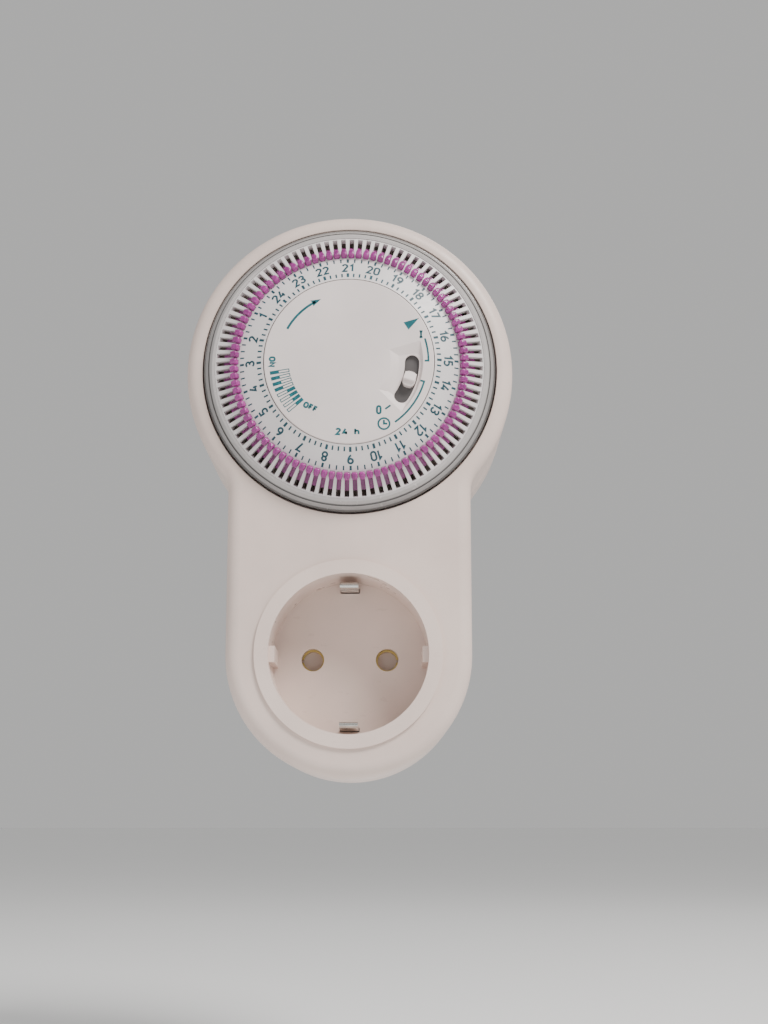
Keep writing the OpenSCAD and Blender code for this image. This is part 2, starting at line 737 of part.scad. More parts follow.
module override_lever() {
    shutter_half = knob_swing * 2 + 10;
    color("#5c5a5b") at_dial() {
        translate([0, 0, shaft_bottom_z]) cylinder(r = shaft_r, h = arm_z + arm_t - shaft_bottom_z);
        translate([0, 0, shaft_bottom_z]) difference() {
            cylinder(r = cam_r, h = 3);
            translate([-20, cam_r - 1, -1]) cube([40, 20, 5]);
        }
        translate([0, 0, arm_z]) rotate([0, 0, knob_angle]) translate([0, -arm_w / 2, 0])
            cube([knob_track_r, arm_w, arm_t]);
        // Shutter that keeps the slot closed at every place of the knob.
        translate([0, 0, arm_z]) sector(
            knob_track_r - knob_slot_w / 2 - 0.9, knob_track_r + knob_slot_w / 2 + 0.9,
            knob_angle - shutter_half, knob_angle + shutter_half, arm_t);
    }
}

module override_knob() {
    knob_top_z = face_z + 1;
    base_z = arm_z + arm_t;
    crest_h = 0.8;
    reach = (knob_len - knob_w) / 2;
    body_h = knob_top_z - base_z - crest_h;
    color("#efebe6") at_dial() rotate([0, 0, knob_angle]) {
        for (end = [-1, 1]) translate([knob_track_r, end * reach, base_z])
            cylinder(r = knob_w / 2, h = body_h);
        translate([knob_track_r - knob_w / 2, -reach, base_z]) cube([knob_w, 2 * reach, body_h]);
        // Crest for a fingernail.
        translate([knob_track_r - knob_w / 2 + 0.3, 0, knob_top_z - crest_h]) rotate([0, 90, 0])
            linear_extrude(knob_w - 0.6) polygon([
                [0.1, -knob_len * 0.38], [0.1, knob_len * 0.38], [-crest_h, 0.4], [-crest_h, -0.4]
            ]);
    }
}

module detent_spring() {
    color("#c4c7ca") at_dial(shaft_bottom_z) {
        translate([-9, cam_r + 0.15, 0]) cube([18, 0.4, 3]);
        translate([-9.4, cam_r - 0.05, 0]) cube([0.8, 0.8, plate_z - shaft_bottom_z]);
    }
}

// ---------------------------------------------------------------- fixed centre disc

module face_disc() {
    pocket_depth = 0.8;
    pocket = [10.2, 18.5];
    half_slot = knob_swing + 1;
    collar_half = knob_swing + 30;
    color("#e9e6e3") difference() {
        union() {
            at_dial(face_z - face_t) cylinder(r = face_r, h = face_t);
            // Collar that seats on the column.
            at_dial(arm_z + 0.1) rotate([0, 0, knob_angle + collar_half])
                rotate_extrude(angle = 360 - 2 * collar_half) translate([column_r + seat, 0])
                    square([1.6, face_z - face_t / 2 - arm_z - 0.1]);
        }
        at_dial(face_z - pocket_depth)
            sector(pocket[0], pocket[1], knob_angle - 28, knob_angle + 33.6, 5);
        at_dial(face_z - face_t - 1) sector(knob_track_r - knob_slot_w / 2, knob_track_r + knob_slot_w / 2,
            knob_angle - half_slot, knob_angle + half_slot, 5);
        for (end = [-1, 1]) at_dial(face_z - face_t - 1) rotate([0, 0, knob_angle + end * half_slot])
            translate([knob_track_r, 0, 0]) cylinder(r = knob_slot_w / 2 - blend_step, h = 5);
    }
}

// ---------------------------------------------------------------- programme dial

function segment_angle(i) =
    pointer_angle + (i / segments * 24 - hour_shown) * hour_pitch + segment_pitch / 2;

// Frame of one tripper: X down the slope, Z out of the ring, at the slot's inner end.
module at_segment(i) {
    at_dial() rotate([0, 0, segment_angle(i)])
        translate([slot_from_r, 0, ring_top_z - ring_drop * (slot_from_r - ring_bore_r)])
            rotate([0, cone_angle, 0]) children();
}

module programme_ring() {
    edge_z = ring_top_z - ring_drop * (ring_r - ring_bore_r);
    wall_r = ring_bore_r + ring_wall;
    color("#eeecea") difference() {
        at_dial() rotate_extrude() polygon([
            [column_r + running, well_floor_z + gap], [hub_r, well_floor_z + gap],
            [hub_r, web_top_z - web_t], [wall_r, web_top_z - web_t],
            [wall_r, ring_top_z - ring_drop * ring_wall - ring_t_up],
            [ring_r, edge_z - ring_t_up], [ring_r, edge_z], [ring_bore_r, ring_top_z],
            [ring_bore_r, web_top_z], [column_r + running, web_top_z]
        ]);
        for (i = [0:segments - 1]) at_segment(i)
            translate([0, -slot_w / 2, -ring_t - 1]) cube([slot_len, slot_w, ring_t + 2]);
    }
}

module grip_ring() {
    edge_z = ring_top_z - ring_drop * (ring_r - ring_bore_r);
    under_z = edge_z - ring_t_up + 0.2;
    skirt = 0.4;
    color([0.78, 0.78, 0.8, 0.6]) at_dial() rotate_extrude() polygon([
        [ring_r + seat, under_z], [grip_r - skirt, under_z - ring_drop * (grip_r - skirt - ring_r)],
        [grip_r - skirt, front_z - 0.4], [grip_r, front_z - 0.4], [grip_r, front_z + 0.6],
        [ring_r + 0.7, edge_z + 0.15], [ring_r + seat, edge_z + 0.15]
    ]);
}

module dial_gear() {
    color("#efe6c8") at_dial(dial_gear_z) difference() {
        linear_extrude(dial_gear_t) gear_outline(dial_teeth);
        translate([0, 0, -1]) cylinder(r = hub_r + seat, h = dial_gear_t + 2);
    }
}

module tripper() {
    foot_top = -ring_t - 0.06;
    color("#b8479f") {
        // Head: a round nose that tapers towards its outer end.
        linear_extrude(head_h) {
            translate([head_w / 2 - 0.25, 0]) circle(r = head_w / 2, $fn = 32);
            polygon([[head_w / 2 - 0.25, -head_w / 2], [head_len - 0.2, -neck_w / 2],
                [head_len - 0.2, neck_w / 2], [head_w / 2 - 0.25, head_w / 2]]);
        }
        translate([neck_from, -neck_w / 2, foot_top - foot_t])
            cube([head_len - 0.2 - neck_from, neck_w, head_h - foot_top]);
        translate([foot_from, -foot_w / 2, foot_top - foot_t]) cube([foot_to - foot_from, foot_w, foot_t]);
        translate([foot_to - lug_len, -foot_w / 2, foot_top - foot_t - lug_h])
            cube([lug_len, foot_w, lug_h + foot_t]);
    }
}

module tripper_set() {
    for (i = [0:segments - 1])
        if (i < loose_first || i >= loose_first + loose_trippers)
            at_segment(i) translate([0, 0, 0.03]) tripper();
}

module loose_tripper(k) {
    at_segment(loose_first + k) translate([0, 0, 0.03]) tripper();
}

// ---------------------------------------------------------------- nodes

in_row_frame() front_shell();
in_row_frame() rear_shell();
in_row_frame() casing_screws();
in_row_frame() socket_cup();
in_row_frame() plug_body();
in_row_frame() plug_pin(1);  // plug_pin_live
in_row_frame() plug_pin(-1);  // plug_pin_neutral
in_row_frame() earth_strap();
in_row_frame() contact_sleeve(1);  // contact_sleeve_live
in_row_frame() contact_sleeve(-1);  // contact_sleeve_neutral
in_row_frame() neutral_bar();
in_row_frame() live_in_bar();
in_row_frame() live_out_bar();
in_row_frame() mechanism_plate();
in_row_frame() plate_screws();
in_row_frame() centre_column();
in_row_frame() face_disc();
in_row_frame() dial_clip();
in_row_frame() motor_can();
in_row_frame() motor_coil();
in_row_frame() motor_end_plate();
in_row_frame() rotor_magnet();
in_row_frame() motor_pinion();
in_row_frame() wheel_axle();
in_row_frame() reduction_wheel();
in_row_frame() switch_case();
in_row_frame() switch_blade();
in_row_frame() switch_terminals();
in_row_frame() switch_button();
in_row_frame() feeler_pin();
in_row_frame() feeler_lever();
in_row_frame() override_lever();
in_row_frame() override_knob();
in_row_frame() detent_spring();
in_row_frame() programme_ring();
in_row_frame() grip_ring();
in_row_frame() dial_gear();
in_row_frame() tripper_set();
for (k = [0:loose_trippers - 1])
    in_row_frame() loose_tripper(k);
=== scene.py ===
"""Looks of a plug-in segment timer: casing, printed dial, trippers, plug and socket.

It is laid out as an add-on: the sizes and colours are properties, each piece or group of like
pieces has an operator, and main() calls the operators in order. Lengths are in metres.
"""

import math

import bmesh
import bpy
from bpy.props import FloatProperty, FloatVectorProperty, IntProperty, PointerProperty
from mathutils import Matrix, Vector


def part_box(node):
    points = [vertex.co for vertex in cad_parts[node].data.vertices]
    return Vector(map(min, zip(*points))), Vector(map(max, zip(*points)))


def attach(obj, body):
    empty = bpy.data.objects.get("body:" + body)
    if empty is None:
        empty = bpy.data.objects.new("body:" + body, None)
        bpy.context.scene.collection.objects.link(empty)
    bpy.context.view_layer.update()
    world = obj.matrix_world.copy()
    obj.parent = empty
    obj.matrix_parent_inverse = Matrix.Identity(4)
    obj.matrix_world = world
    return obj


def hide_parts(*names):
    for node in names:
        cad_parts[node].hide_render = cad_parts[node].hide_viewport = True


bl_info = {
    "name": "Segment timer looks",
    "version": (1, 0, 0),
    "blender": (4, 5, 0),
    "location": "View3D > Sidebar > Timer",
    "description": "Builds the casing, printed dial, trippers and finishes of a plug-in timer",
    "category": "Object",
}

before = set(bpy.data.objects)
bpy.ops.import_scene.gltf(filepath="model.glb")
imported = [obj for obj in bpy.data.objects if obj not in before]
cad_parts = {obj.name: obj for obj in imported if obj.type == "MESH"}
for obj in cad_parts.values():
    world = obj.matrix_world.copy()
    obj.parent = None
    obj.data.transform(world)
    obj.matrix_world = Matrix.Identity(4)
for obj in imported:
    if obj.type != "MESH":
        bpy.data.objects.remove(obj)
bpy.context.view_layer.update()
MM = 0.001

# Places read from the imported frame. Angles run anticlockwise from the user's right.
ring_low, ring_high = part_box("programme_ring")
face_low, face_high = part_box("face_disc")
grip_low, grip_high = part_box("grip_ring")
front_low, front_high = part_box("front_shell")
DIAL_X = (face_low.x + face_high.x) / 2
DIAL_Z = (face_low.z + face_high.z) / 2
FACE_Y = face_low.y
FACE_R = (face_high.x - face_low.x) / 2
RING_R = (ring_high.x - ring_low.x) / 2
RING_TOP_Y = ring_low.y
GRIP_R = (grip_high.x - grip_low.x) / 2
HEAD_R = (front_high.x - front_low.x) / 2
BODY_HALF = -front_low.z
FRONT_Y = front_low.y
SEAM_Y = front_high.y
BACK_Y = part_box("rear_shell")[1].y
HOURS = 24


# ---------------------------------------------------------------- sizes and colours


def length(name, default, description):
    return FloatProperty(name=name, description=description, default=default, unit="LENGTH")


def colour(name, default, description):
    return FloatVectorProperty(
        name=name, description=description, default=default, subtype="COLOR", min=0, max=1
    )


class TimerSizes(bpy.types.PropertyGroup):
    segments: IntProperty(name="Segments", description="Trippers around the dial", default=96)
    hour_shown: FloatProperty(name="Hour shown", description="Hour at the pointer", default=17)
    pointer_angle: FloatProperty(
        name="Pointer angle", description="Place of the pointer", subtype="ANGLE",
        default=math.radians(31),
    )
    knob_angle: FloatProperty(
        name="Knob angle", description="Middle of the override slot", subtype="ANGLE",
        default=math.radians(-17.1),
    )
    cone_angle: FloatProperty(
        name="Cone angle", description="Slope of the programme ring", subtype="ANGLE",
        default=math.radians(22),
    )
    knob_track: length("Knob track", 15.7 * MM, "Radius of the override knob's way")
    ring_bore: length("Ring bore", 21.4 * MM, "Radius where the programme ring starts")
    slot_from: length("Slot start", 27.72 * MM, "Radius of the slots' inner ends")
    travel: length("Travel", 4.2 * MM, "Way of a tripper along its slot")
    slot_width: length("Slot width", 1.2 * MM, "Width of a slot in the programme ring")
    ring_thickness: length("Ring thickness", 1.62 * MM, "Programme ring, across its slope")
    ink: length("Ink thickness", 0.012 * MM, "Height of the printing above the plastic")
    numeral_height: length("Numeral height", 2.15 * MM, "Height of the hour numerals")
    neck_round: length("Neck radius", 8 * MM, "Inside corner between head and body")
    edge_round: length("Edge radius", 3.6 * MM, "Rounding of the casing's edges")
    well_gap: length("Well gap", 0.4 * MM, "Gap around the grip ring")


class TimerColours(bpy.types.PropertyGroup):
    casing: colour("Casing", (0.72, 0.59, 0.53), "Warm white casing plastic")
    face: colour("Face", (0.74, 0.66, 0.64), "Fixed disc")
    ring: colour("Ring", (0.70, 0.665, 0.66), "Programme ring")
    ink: colour("Ink", (0.006, 0.082, 0.098), "Disc printing")
    ring_ink: colour("Ring ink", (0.010, 0.048, 0.064), "Ring printing")
    tripper: colour("Tripper", (0.31, 0.033, 0.225), "Tinted tripper plastic")
    smoke: colour("Smoke", (0.56, 0.53, 0.52), "Grip ring plastic")
    slate: colour("Grey", (0.085, 0.078, 0.078), "Override slide behind the slot")


class TimerStudio(bpy.types.PropertyGroup):
    lens: FloatProperty(name="Lens", description="Focal length in mm", default=55.6)
    rise: FloatProperty(
        name="Camera rise", description="Tilt of the camera above the level", subtype="ANGLE",
        default=math.radians(10.9),
    )
    camera_at: FloatVectorProperty(
        name="Camera place", description="From the dial's centre", subtype="TRANSLATION",
        default=(8.7 * MM, -379 * MM, -111.3 * MM),
    )
    floor_drop: length("Floor drop", 75 * MM, "Floor below the casing")
    key_power: FloatProperty(name="Key light", description="Power", default=9.5, unit="POWER")
    fill_power: FloatProperty(name="Fill light", description="Power", default=0.7, unit="POWER")


# ---------------------------------------------------------------- finishes


class Socket:
    """A node's output. Sums and products of it add Math nodes."""

    def __init__(self, finish, output):
        self.finish = finish
        self.output = output

    def _math(self, operation, first, second):
        settings = {"operation": operation}
        return self.finish.node("ShaderNodeMath", settings, {0: first, 1: second})

    def __add__(self, other):
        return self._math("ADD", self, other)

    def __sub__(self, other):
        return self._math("SUBTRACT", self, other)

    def __mul__(self, other):
        return self._math("MULTIPLY", self, other)

    def __pow__(self, other):
        return self._math("POWER", self, other)


class Finish:
    """A material of one Principled surface, whose varying inputs are wired as expressions."""

    def __init__(self, name, **fixed):
        self.material = bpy.data.materials.new(name)
        self.material.use_nodes = True
        self.tree = self.material.node_tree
        self.surface = self.tree.nodes["Principled BSDF"]
        for key, value in fixed.items():
            self.surface.inputs[key.replace("_", " ")].default_value = value

    def node(self, kind, settings=None, inputs=None, output=0):
        made = self.tree.nodes.new(kind)
        for key, value in (settings or {}).items():
            if key == "stops":
                ramp = made.color_ramp.elements
                while len(ramp) < len(value):
                    ramp.new(0.5)
                for element, (position, shade) in zip(ramp, value):
                    element.position = position
                    element.color = (shade, shade, shade, 1)
            else:
                setattr(made, key, value)
        for key, value in (inputs or {}).items():
            if isinstance(value, Socket):
                self.tree.links.new(value.output, made.inputs[key])
            else:
                made.inputs[key].default_value = value
        return Socket(self, made.outputs[output])

    def place(self):
        return self.node("ShaderNodeTexCoord", output="Object")

    def noise(self, per_metre, detail=2.0, stretch=(1, 1, 1), rough=0.5):
        scaled = self.node(
            "ShaderNodeMapping", {},
            {"Vector": self.place(), "Scale": [per_metre * s for s in stretch]},
        )
        values = {"Vector": scaled, "Scale": 1.0, "Detail": detail, "Roughness": rough}
        return self.node("ShaderNodeTexNoise", {"normalize": True}, values)

    def ramp(self, value, *stops):
        return self.node("ShaderNodeValToRGB", {"stops": stops}, {"Fac": value})

    def mix(self, factor, first, second):
        shades = [s if isinstance(s, Socket) else (*s[:3], 1) for s in (first, second)]
        return self.node(
            "ShaderNodeMix", {"data_type": "RGBA"}, {0: factor, 6: shades[0], 7: shades[1]}, 2
        )

    def wire(self, key, value):
        self.tree.links.new(value.output, self.surface.inputs[key])

    def bump(self, height, strength, distance):
        values = {"Height": height, "Strength": strength, "Distance": distance}
        self.wire("Normal", self.node("ShaderNodeBump", {}, values))


def shade(base, factor):
    return tuple(min(1, c * factor) for c in base)


def moulded(name, base, rough, grain=0.25, per_metre=2600, **fixed):
    """Moulded plastic: cloudy tone, spark-eroded grain, handling marks in the gloss."""
    made = Finish(name, **fixed)
    cloud = made.noise(45, 3)
    speck = made.noise(900, 3, rough=0.6)
    tone = made.mix(made.ramp(cloud, (0.35, 0), (0.68, 1)), shade(base, 0.93), shade(base, 1.04))
    dust = made.ramp(speck, (0.62, 0), (0.78, 1)) * 0.22
    made.wire("Base Color", made.mix(dust, tone, shade(base, 0.80)))
    smear = made.noise(160, 4, (1, 1, 2.6))
    made.wire("Roughness", made.ramp(smear, (0.3, 0), (0.75, 1)) * 0.14 + rough)
    made.bump(made.noise(per_metre, 2), grain, 0.00004)
    return made.material


def metal(name, base, rough, along=(1, 1, 14), **fixed):
    """Rolled or drawn metal: fine lines one way, dull patches, a little tarnish."""
    made = Finish(name, Metallic=1.0, **fixed)
    lines = made.noise(2400, 3, along)
    patch = made.noise(230, 4, rough=0.6)
    tarnish = made.ramp(patch, (0.45, 0), (0.8, 1))
    made.wire("Base Color", made.mix(tarnish, base, shade(base, 0.66)))
    made.wire("Roughness", lines * 0.16 + tarnish * 0.14 + rough)
    made.bump(lines, 0.12, 0.00003)
    return made.material


def printed(name, base):
    """Pad-printed ink: thin at its edges of pressure, with pinholes."""
    made = Finish(name, Specular_IOR_Level=0.35)
    cover = made.ramp(made.noise(1500, 3, rough=0.65), (0.30, 0), (0.46, 1))
    wash = made.noise(210, 2)
    tone = made.mix(wash, shade(base, 0.85), shade(base, 1.5))
    made.wire("Base Color", made.mix(cover, shade(base, 2.2), tone))
    made.wire("Roughness", wash * 0.2 + 0.38)
    made.bump(cover, 0.2, 0.00001)
    return made.material


def tinted(name, base):
    """Tinted clear plastic that glows where it is thin: small parts moulded by the hundred."""
    made = Finish(
        name, Coat_Weight=0.35, Coat_Roughness=0.12, Subsurface_Weight=0.35,
        Subsurface_Radius=(0.0012, 0.0003, 0.0009), Subsurface_Scale=1.0,
    )
    batch = made.noise(330, 2)
    tone = made.mix(made.ramp(batch, (0.32, 0), (0.7, 1)), shade(base, 0.78), shade(base, 1.22))
    made.wire("Base Color", tone)
    made.wire("Roughness", made.noise(900, 3) * 0.18 + 0.2)
    made.bump(made.noise(3200, 2), 0.12, 0.00003)
    return made.material


def smoky(name, base):
    """Smoky see-through plastic with turning lines round its rim, and painted shade: dark bands
    across its flare.
    """
    made = Finish(
        name, Transmission_Weight=0.15, IOR=1.49, Coat_Weight=0.3, Coat_Roughness=0.1,
    )
    apart = made.node("ShaderNodeSeparateXYZ", {}, {"Vector": made.place()})
    across = apart - DIAL_X
    up = Socket(made, apart.output.node.outputs["Z"]) - DIAL_Z
    radius = (across * across + up * up) ** 0.5
    out = (radius - RING_R) * (1 / (GRIP_R - RING_R))
    # Painted shade, not a mark in the plastic: a dark line in the groove across the flare, half
    # shade beyond it, and dark at the outer edge where the gap to the casing lies in shadow.
    band = made.ramp(
        out, (0.0, 1.0), (0.44, 0.85), (0.50, 0.15), (0.57, 0.15), (0.62, 0.6), (0.82, 0.5),
        (0.9, 0.0),
    )
    cloud = made.noise(130, 3)
    tone = made.mix(cloud, shade(base, 0.85), shade(base, 1.15))
    # Base colour: the painted shade where the band is low, the cloudy tone elsewhere.
    made.wire("Base Color", made.mix(band, shade(base, 0.16), tone))
    made.wire("Roughness", made.noise(700, 3) * 0.16 + 0.16)
    made.bump(made.noise(2600, 2, (0.2, 3, 0.2)), 0.18, 0.00003)
    return made.material


finishes = {}


def mix_finishes(colours):
    """All finishes of the timer, by their plain names."""
    finishes.update(
        casing=moulded("casing_plastic", colours.casing, 0.36, 0.30, Specular_IOR_Level=0.45),
        socket=moulded("socket_plastic", shade(colours.casing, 1.06), 0.26, 0.10, 1800),
        face=moulded("face_plastic", colours.face, 0.40, 0.14, 3000, Specular_IOR_Level=0.4),
        ring=moulded(
            "ring_plastic", colours.ring, 0.34, 0.10, 2200,
            Subsurface_Weight=0.12, Subsurface_Radius=(0.001, 0.001, 0.001), Subsurface_Scale=1.0,
        ),
        ink=printed("dial_ink", colours.ink),
        ring_ink=printed("ring_ink", colours.ring_ink),
        tripper=tinted("tripper_plastic", colours.tripper),
        smoke=smoky("smoky_plastic_painted_shade", colours.smoke),
        slate=moulded("slate_plastic", colours.slate, 0.42, 0.2),
        works=moulded("acetal_works", (0.62, 0.57, 0.44), 0.30, 0.08),
        black=moulded("black_moulding", (0.022, 0.022, 0.025), 0.34, 0.2),
        red=moulded("red_button", (0.42, 0.02, 0.015), 0.28, 0.08),
        nickel=metal("nickel_plate", (0.64, 0.63, 0.60), 0.14, (1, 12, 1)),
        steel=metal("zinc_steel", (0.50, 0.51, 0.53), 0.28),
        brass=metal("brass_strip", (0.60, 0.43, 0.15), 0.24),
        copper=metal("copper_strip", (0.62, 0.30, 0.15), 0.28),
        magnet=moulded("ferrite", (0.045, 0.045, 0.05), 0.55, 0.5, 4200),
        coil=metal("winding", (0.46, 0.16, 0.06), 0.32, (1, 16, 1), Coat_Weight=0.5),
    )


# ---------------------------------------------------------------- making pieces


def piece(name, verts, faces, finish, body, sharp=38):
    mesh = bpy.data.meshes.new(name)
    mesh.from_pydata(verts, [], faces)
    mesh.validate()
    if not mesh.materials:
        mesh.materials.append(finishes[finish])
    mesh.shade_smooth()
    mesh.set_sharp_from_angle(angle=math.radians(sharp))
    made = bpy.data.objects.new(name, mesh)
    bpy.context.scene.collection.objects.link(made)
    if body:
        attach(made, body)
    return made


def settle(made, sharp=38):
    """Applies a piece's modifiers and renews its shading."""
    depsgraph = bpy.context.evaluated_depsgraph_get()
    mesh = bpy.data.meshes.new_from_object(made.evaluated_get(depsgraph))
    old = made.data
    made.modifiers.clear()
    made.data = mesh
    mesh.name = old.name
    bpy.data.meshes.remove(old)
    mesh.shade_smooth()
    mesh.set_sharp_from_angle(angle=math.radians(sharp))
    return made


def carve(made, tools):
    for tool in tools:
        cut = made.modifiers.new("cut", "BOOLEAN")
        cut.operation = "DIFFERENCE"
        cut.solver = "EXACT"
        cut.object = tool
    bpy.context.view_layer.update()
    settle(made)
    for tool in tools:
        mesh = tool.data
        bpy.data.objects.remove(tool)
        bpy.data.meshes.remove(mesh)
    return made


def soften(made, width, steps=2, above=30):
    bevel = made.modifiers.new("soft edges", "BEVEL")
    bevel.width = width
    bevel.segments = steps
    bevel.limit_method = "ANGLE"
    bevel.angle_limit = math.radians(above)
    bevel.harden_normals = False
    bevel.use_clamp_overlap = True
    return made


def polar(radius, angle):
    return radius * math.cos(angle), radius * math.sin(angle)


def on_axis(radius, angle, y, centre=(0.0, 0.0)):
    x, z = polar(radius, angle)
    return Vector((centre[0] + x, y, centre[1] + z))


DIAL = (DIAL_X, DIAL_Z)


def turned_mesh(profile, steps, centre, closed=True):
    """Vertices and faces of a profile of (radius, y) turned about the axis through centre."""
    verts = [
        on_axis(r, 2 * math.pi * i / steps, y, centre) for i in range(steps) for r, y in profile
    ]
    count = len(profile)
    faces = []
    for i in range(steps):
        j = (i + 1) % steps
        for k in range(count if closed else count - 1):
            m = (k + 1) % count
            faces.append((i * count + k, j * count + k, j * count + m, i * count + m))
    if not closed:
        faces.append(tuple(i * count for i in range(steps - 1, -1, -1)))
        faces.append(tuple(i * count + count - 1 for i in range(steps)))
    return verts, faces


def lofted(rings):
    """Closed loft through rings of as many points each, with a flat face at both ends."""
    count = len(rings[0])
    verts = [p for ring in rings for p in ring]
    last = (len(rings) - 1) * count
    faces = [tuple(range(count - 1, -1, -1)), tuple(last + i for i in range(count))]
    for a in range(len(rings) - 1):
        for i in range(count):
            j = (i + 1) % count
            faces.append((a * count + i, a * count + j, (a + 1) * count + j, (a + 1) * count + i))
    return verts, faces


def facing_out(made):
    """Turns all faces of a closed piece outwards."""
    work = bmesh.new()
    work.from_mesh(made.data)
    bmesh.ops.recalc_face_normals(work, faces=work.faces)
    work.to_mesh(made.data)
    work.free()
    return made


# ---------------------------------------------------------------- stroke lettering


def bow(cx, cy, rx, ry, start, end, steps=12):
    return [
        (
            cx + rx * math.cos(math.radians(start + (end - start) * i / steps)),
            cy + ry * math.sin(math.radians(start + (end - start) * i / steps)),
        )
        for i in range(steps + 1)
    ]


def glyphs():
    """Upright single-stroke characters on a cell one unit high: (width, strokes)."""
    loop = bow(0.24, 0.74, 0.24, 0.26, 0, 180) + bow(0.24, 0.26, 0.24, 0.26, 180, 360)
    wide = bow(0.34, 0.66, 0.34, 0.34, 0, 180) + bow(0.34, 0.34, 0.34, 0.34, 180, 360)
    six = bow(0.24, 0.27, 0.24, 0.27, 90, 450) + [(0.24, 0.54)]
    six_stem = bow(0.50, 0.27, 0.50, 0.73, 180, 112)
    return {
        "0": (0.48, [loop + loop[:1]]),
        "1": (0.30, [[(0.02, 0.76), (0.26, 1), (0.26, 0)]]),
        "2": (0.48, [bow(0.24, 0.75, 0.23, 0.25, 170, -28) + [(0.01, 0), (0.49, 0)]]),
        "3": (0.46, [
            bow(0.21, 0.77, 0.22, 0.23, 160, -80) + bow(0.21, 0.27, 0.25, 0.27, 82, -160),
        ]),
        "4": (0.50, [[(0.30, 1), (0.0, 0.26), (0.50, 0.26)], [(0.38, 0.52), (0.38, 0)]]),
        "5": (0.46, [
            [(0.42, 1), (0.06, 1), (0.04, 0.56)] + bow(0.21, 0.30, 0.25, 0.30, 118, -150),
        ]),
        "6": (0.48, [six, six_stem]),
        "7": (0.46, [[(0, 1), (0.46, 1), (0.14, 0)]]),
        "8": (0.48, [
            bow(0.24, 0.76, 0.20, 0.24, 0, 360, 20), bow(0.24, 0.27, 0.24, 0.27, 0, 360, 20),
        ]),
        "9": (0.48, [
            [(0.48 - x, 1 - y) for x, y in six], [(0.48 - x, 1 - y) for x, y in six_stem],
        ]),
        "O": (0.68, [wide + wide[:1]]),
        "N": (0.60, [[(0, 0), (0, 1), (0.60, 0), (0.60, 1)]]),
        "F": (0.50, [[(0, 0), (0, 1), (0.50, 1)], [(0, 0.52), (0.42, 0.52)]]),
        "I": (0.5, [[(0.25, 0), (0.25, 1)], [(0, 0), (0.5, 0)], [(0, 1), (0.5, 1)]]),
        "h": (0.44, [
            [(0, 0), (0, 1)], [(0, 0.42)] + bow(0.22, 0.42, 0.22, 0.24, 180, 0, 8) + [(0.44, 0)],
        ]),
        " ": (0.22, []),
    }


class Print:
    """Ink on a surface: flat strokes and fills, laid down by a map from (u, v) to a place."""

    def __init__(self, thickness):
        self.verts, self.faces, self.thickness = [], [], thickness

    def fill(self, points, lay):
        """A filled polygon, raised by the ink's thickness and closed round its edge."""
        start, count = len(self.verts), len(points)
        for raised in (-0.004 * MM, self.thickness):
            self.verts += [lay(u, v, raised) for u, v in points]
        top = [start + count + i for i in range(count)]
        self.faces.append(tuple(top))
        self.faces.append(tuple(start + i for i in range(count - 1, -1, -1)))
        for i in range(count):
            j = (i + 1) % count
            self.faces.append((start + i, start + j, start + count + j, start + count + i))

    def stroke(self, points, width, lay):
        """A line of even width as a row of quads, with mitred joints."""
        points = [Vector(p) for p in points]
        path = [p for i, p in enumerate(points) if i == 0 or (p - points[i - 1]).length > 1e-9]
        closed = (path[0] - path[-1]).length < 1e-9
        sides = []
        for i, p in enumerate(path):
            before = path[i - 1] if i else (path[-2] if closed else None)
            after = path[i + 1] if i + 1 < len(path) else (path[1] if closed else None)
            a = (p - before).normalized() if before is not None else None
            b = (after - p).normalized() if after is not None else None
            a, b = a or b, b or a
            across = Vector((-(a.y + b.y), a.x + b.x))
            across = across.normalized() if across.length > 1e-6 else Vector((-a.y, a.x))
            reach = width / 2 / max(0.45, across.dot(Vector((-a.y, a.x))))
            sides.append((p + across * reach, p - across * reach))
        for (l0, r0), (l1, r1) in zip(sides, sides[1:]):
            self.fill([l0, r0, r1, l1], lay)

    def text(self, words, height, width, lay, spacing=0.24, stretch=1.0):
        shapes = glyphs()
        advance = [shapes[c][0] * stretch + spacing for c in words]
        at = -(sum(advance) - spacing) / 2
        for character, step in zip(words, advance):
            for line in shapes[character][1]:
                points = [((x * stretch + at) * height, (y - 0.5) * height) for x, y in line]
                self.stroke(points, width, lay)
            at += step

    def piece(self, name, finish, body, slot):
        return piece(name, self.verts, self.faces, finish, body, 20)


def cone_y(radius, sizes):
    """Where the programme ring's surface lies at that radius."""
    return RING_TOP_Y + math.tan(sizes.cone_angle) * (radius - sizes.ring_bore)


def flat_lay(centre_r, centre_a, turn):
    """Map onto the fixed disc: u and v are along a frame turned by turn at that polar place."""
    cx, cz = polar(centre_r, centre_a)
    c, s = math.cos(turn), math.sin(turn)

    def lay(u, v, raised):
        return Vector((DIAL_X + cx + u * c - v * s, FACE_Y - raised, DIAL_Z + cz + u * s + v * c))

    return lay


def cone_lay(radius, angle, sizes):
    """Map onto the programme ring: u runs clockwise around it and v outwards along its slope."""

    def lay(u, v, raised):
        r = radius + v * math.cos(sizes.cone_angle)
        return on_axis(
            r + raised * math.sin(sizes.cone_angle), angle - u / radius,
            cone_y(r, sizes) - raised * math.cos(sizes.cone_angle), DIAL,
        )

    return lay


def hour_angle(hour, sizes):
    return sizes.pointer_angle + math.radians(360 / HOURS) * (hour - sizes.hour_shown)


# ---------------------------------------------------------------- operators


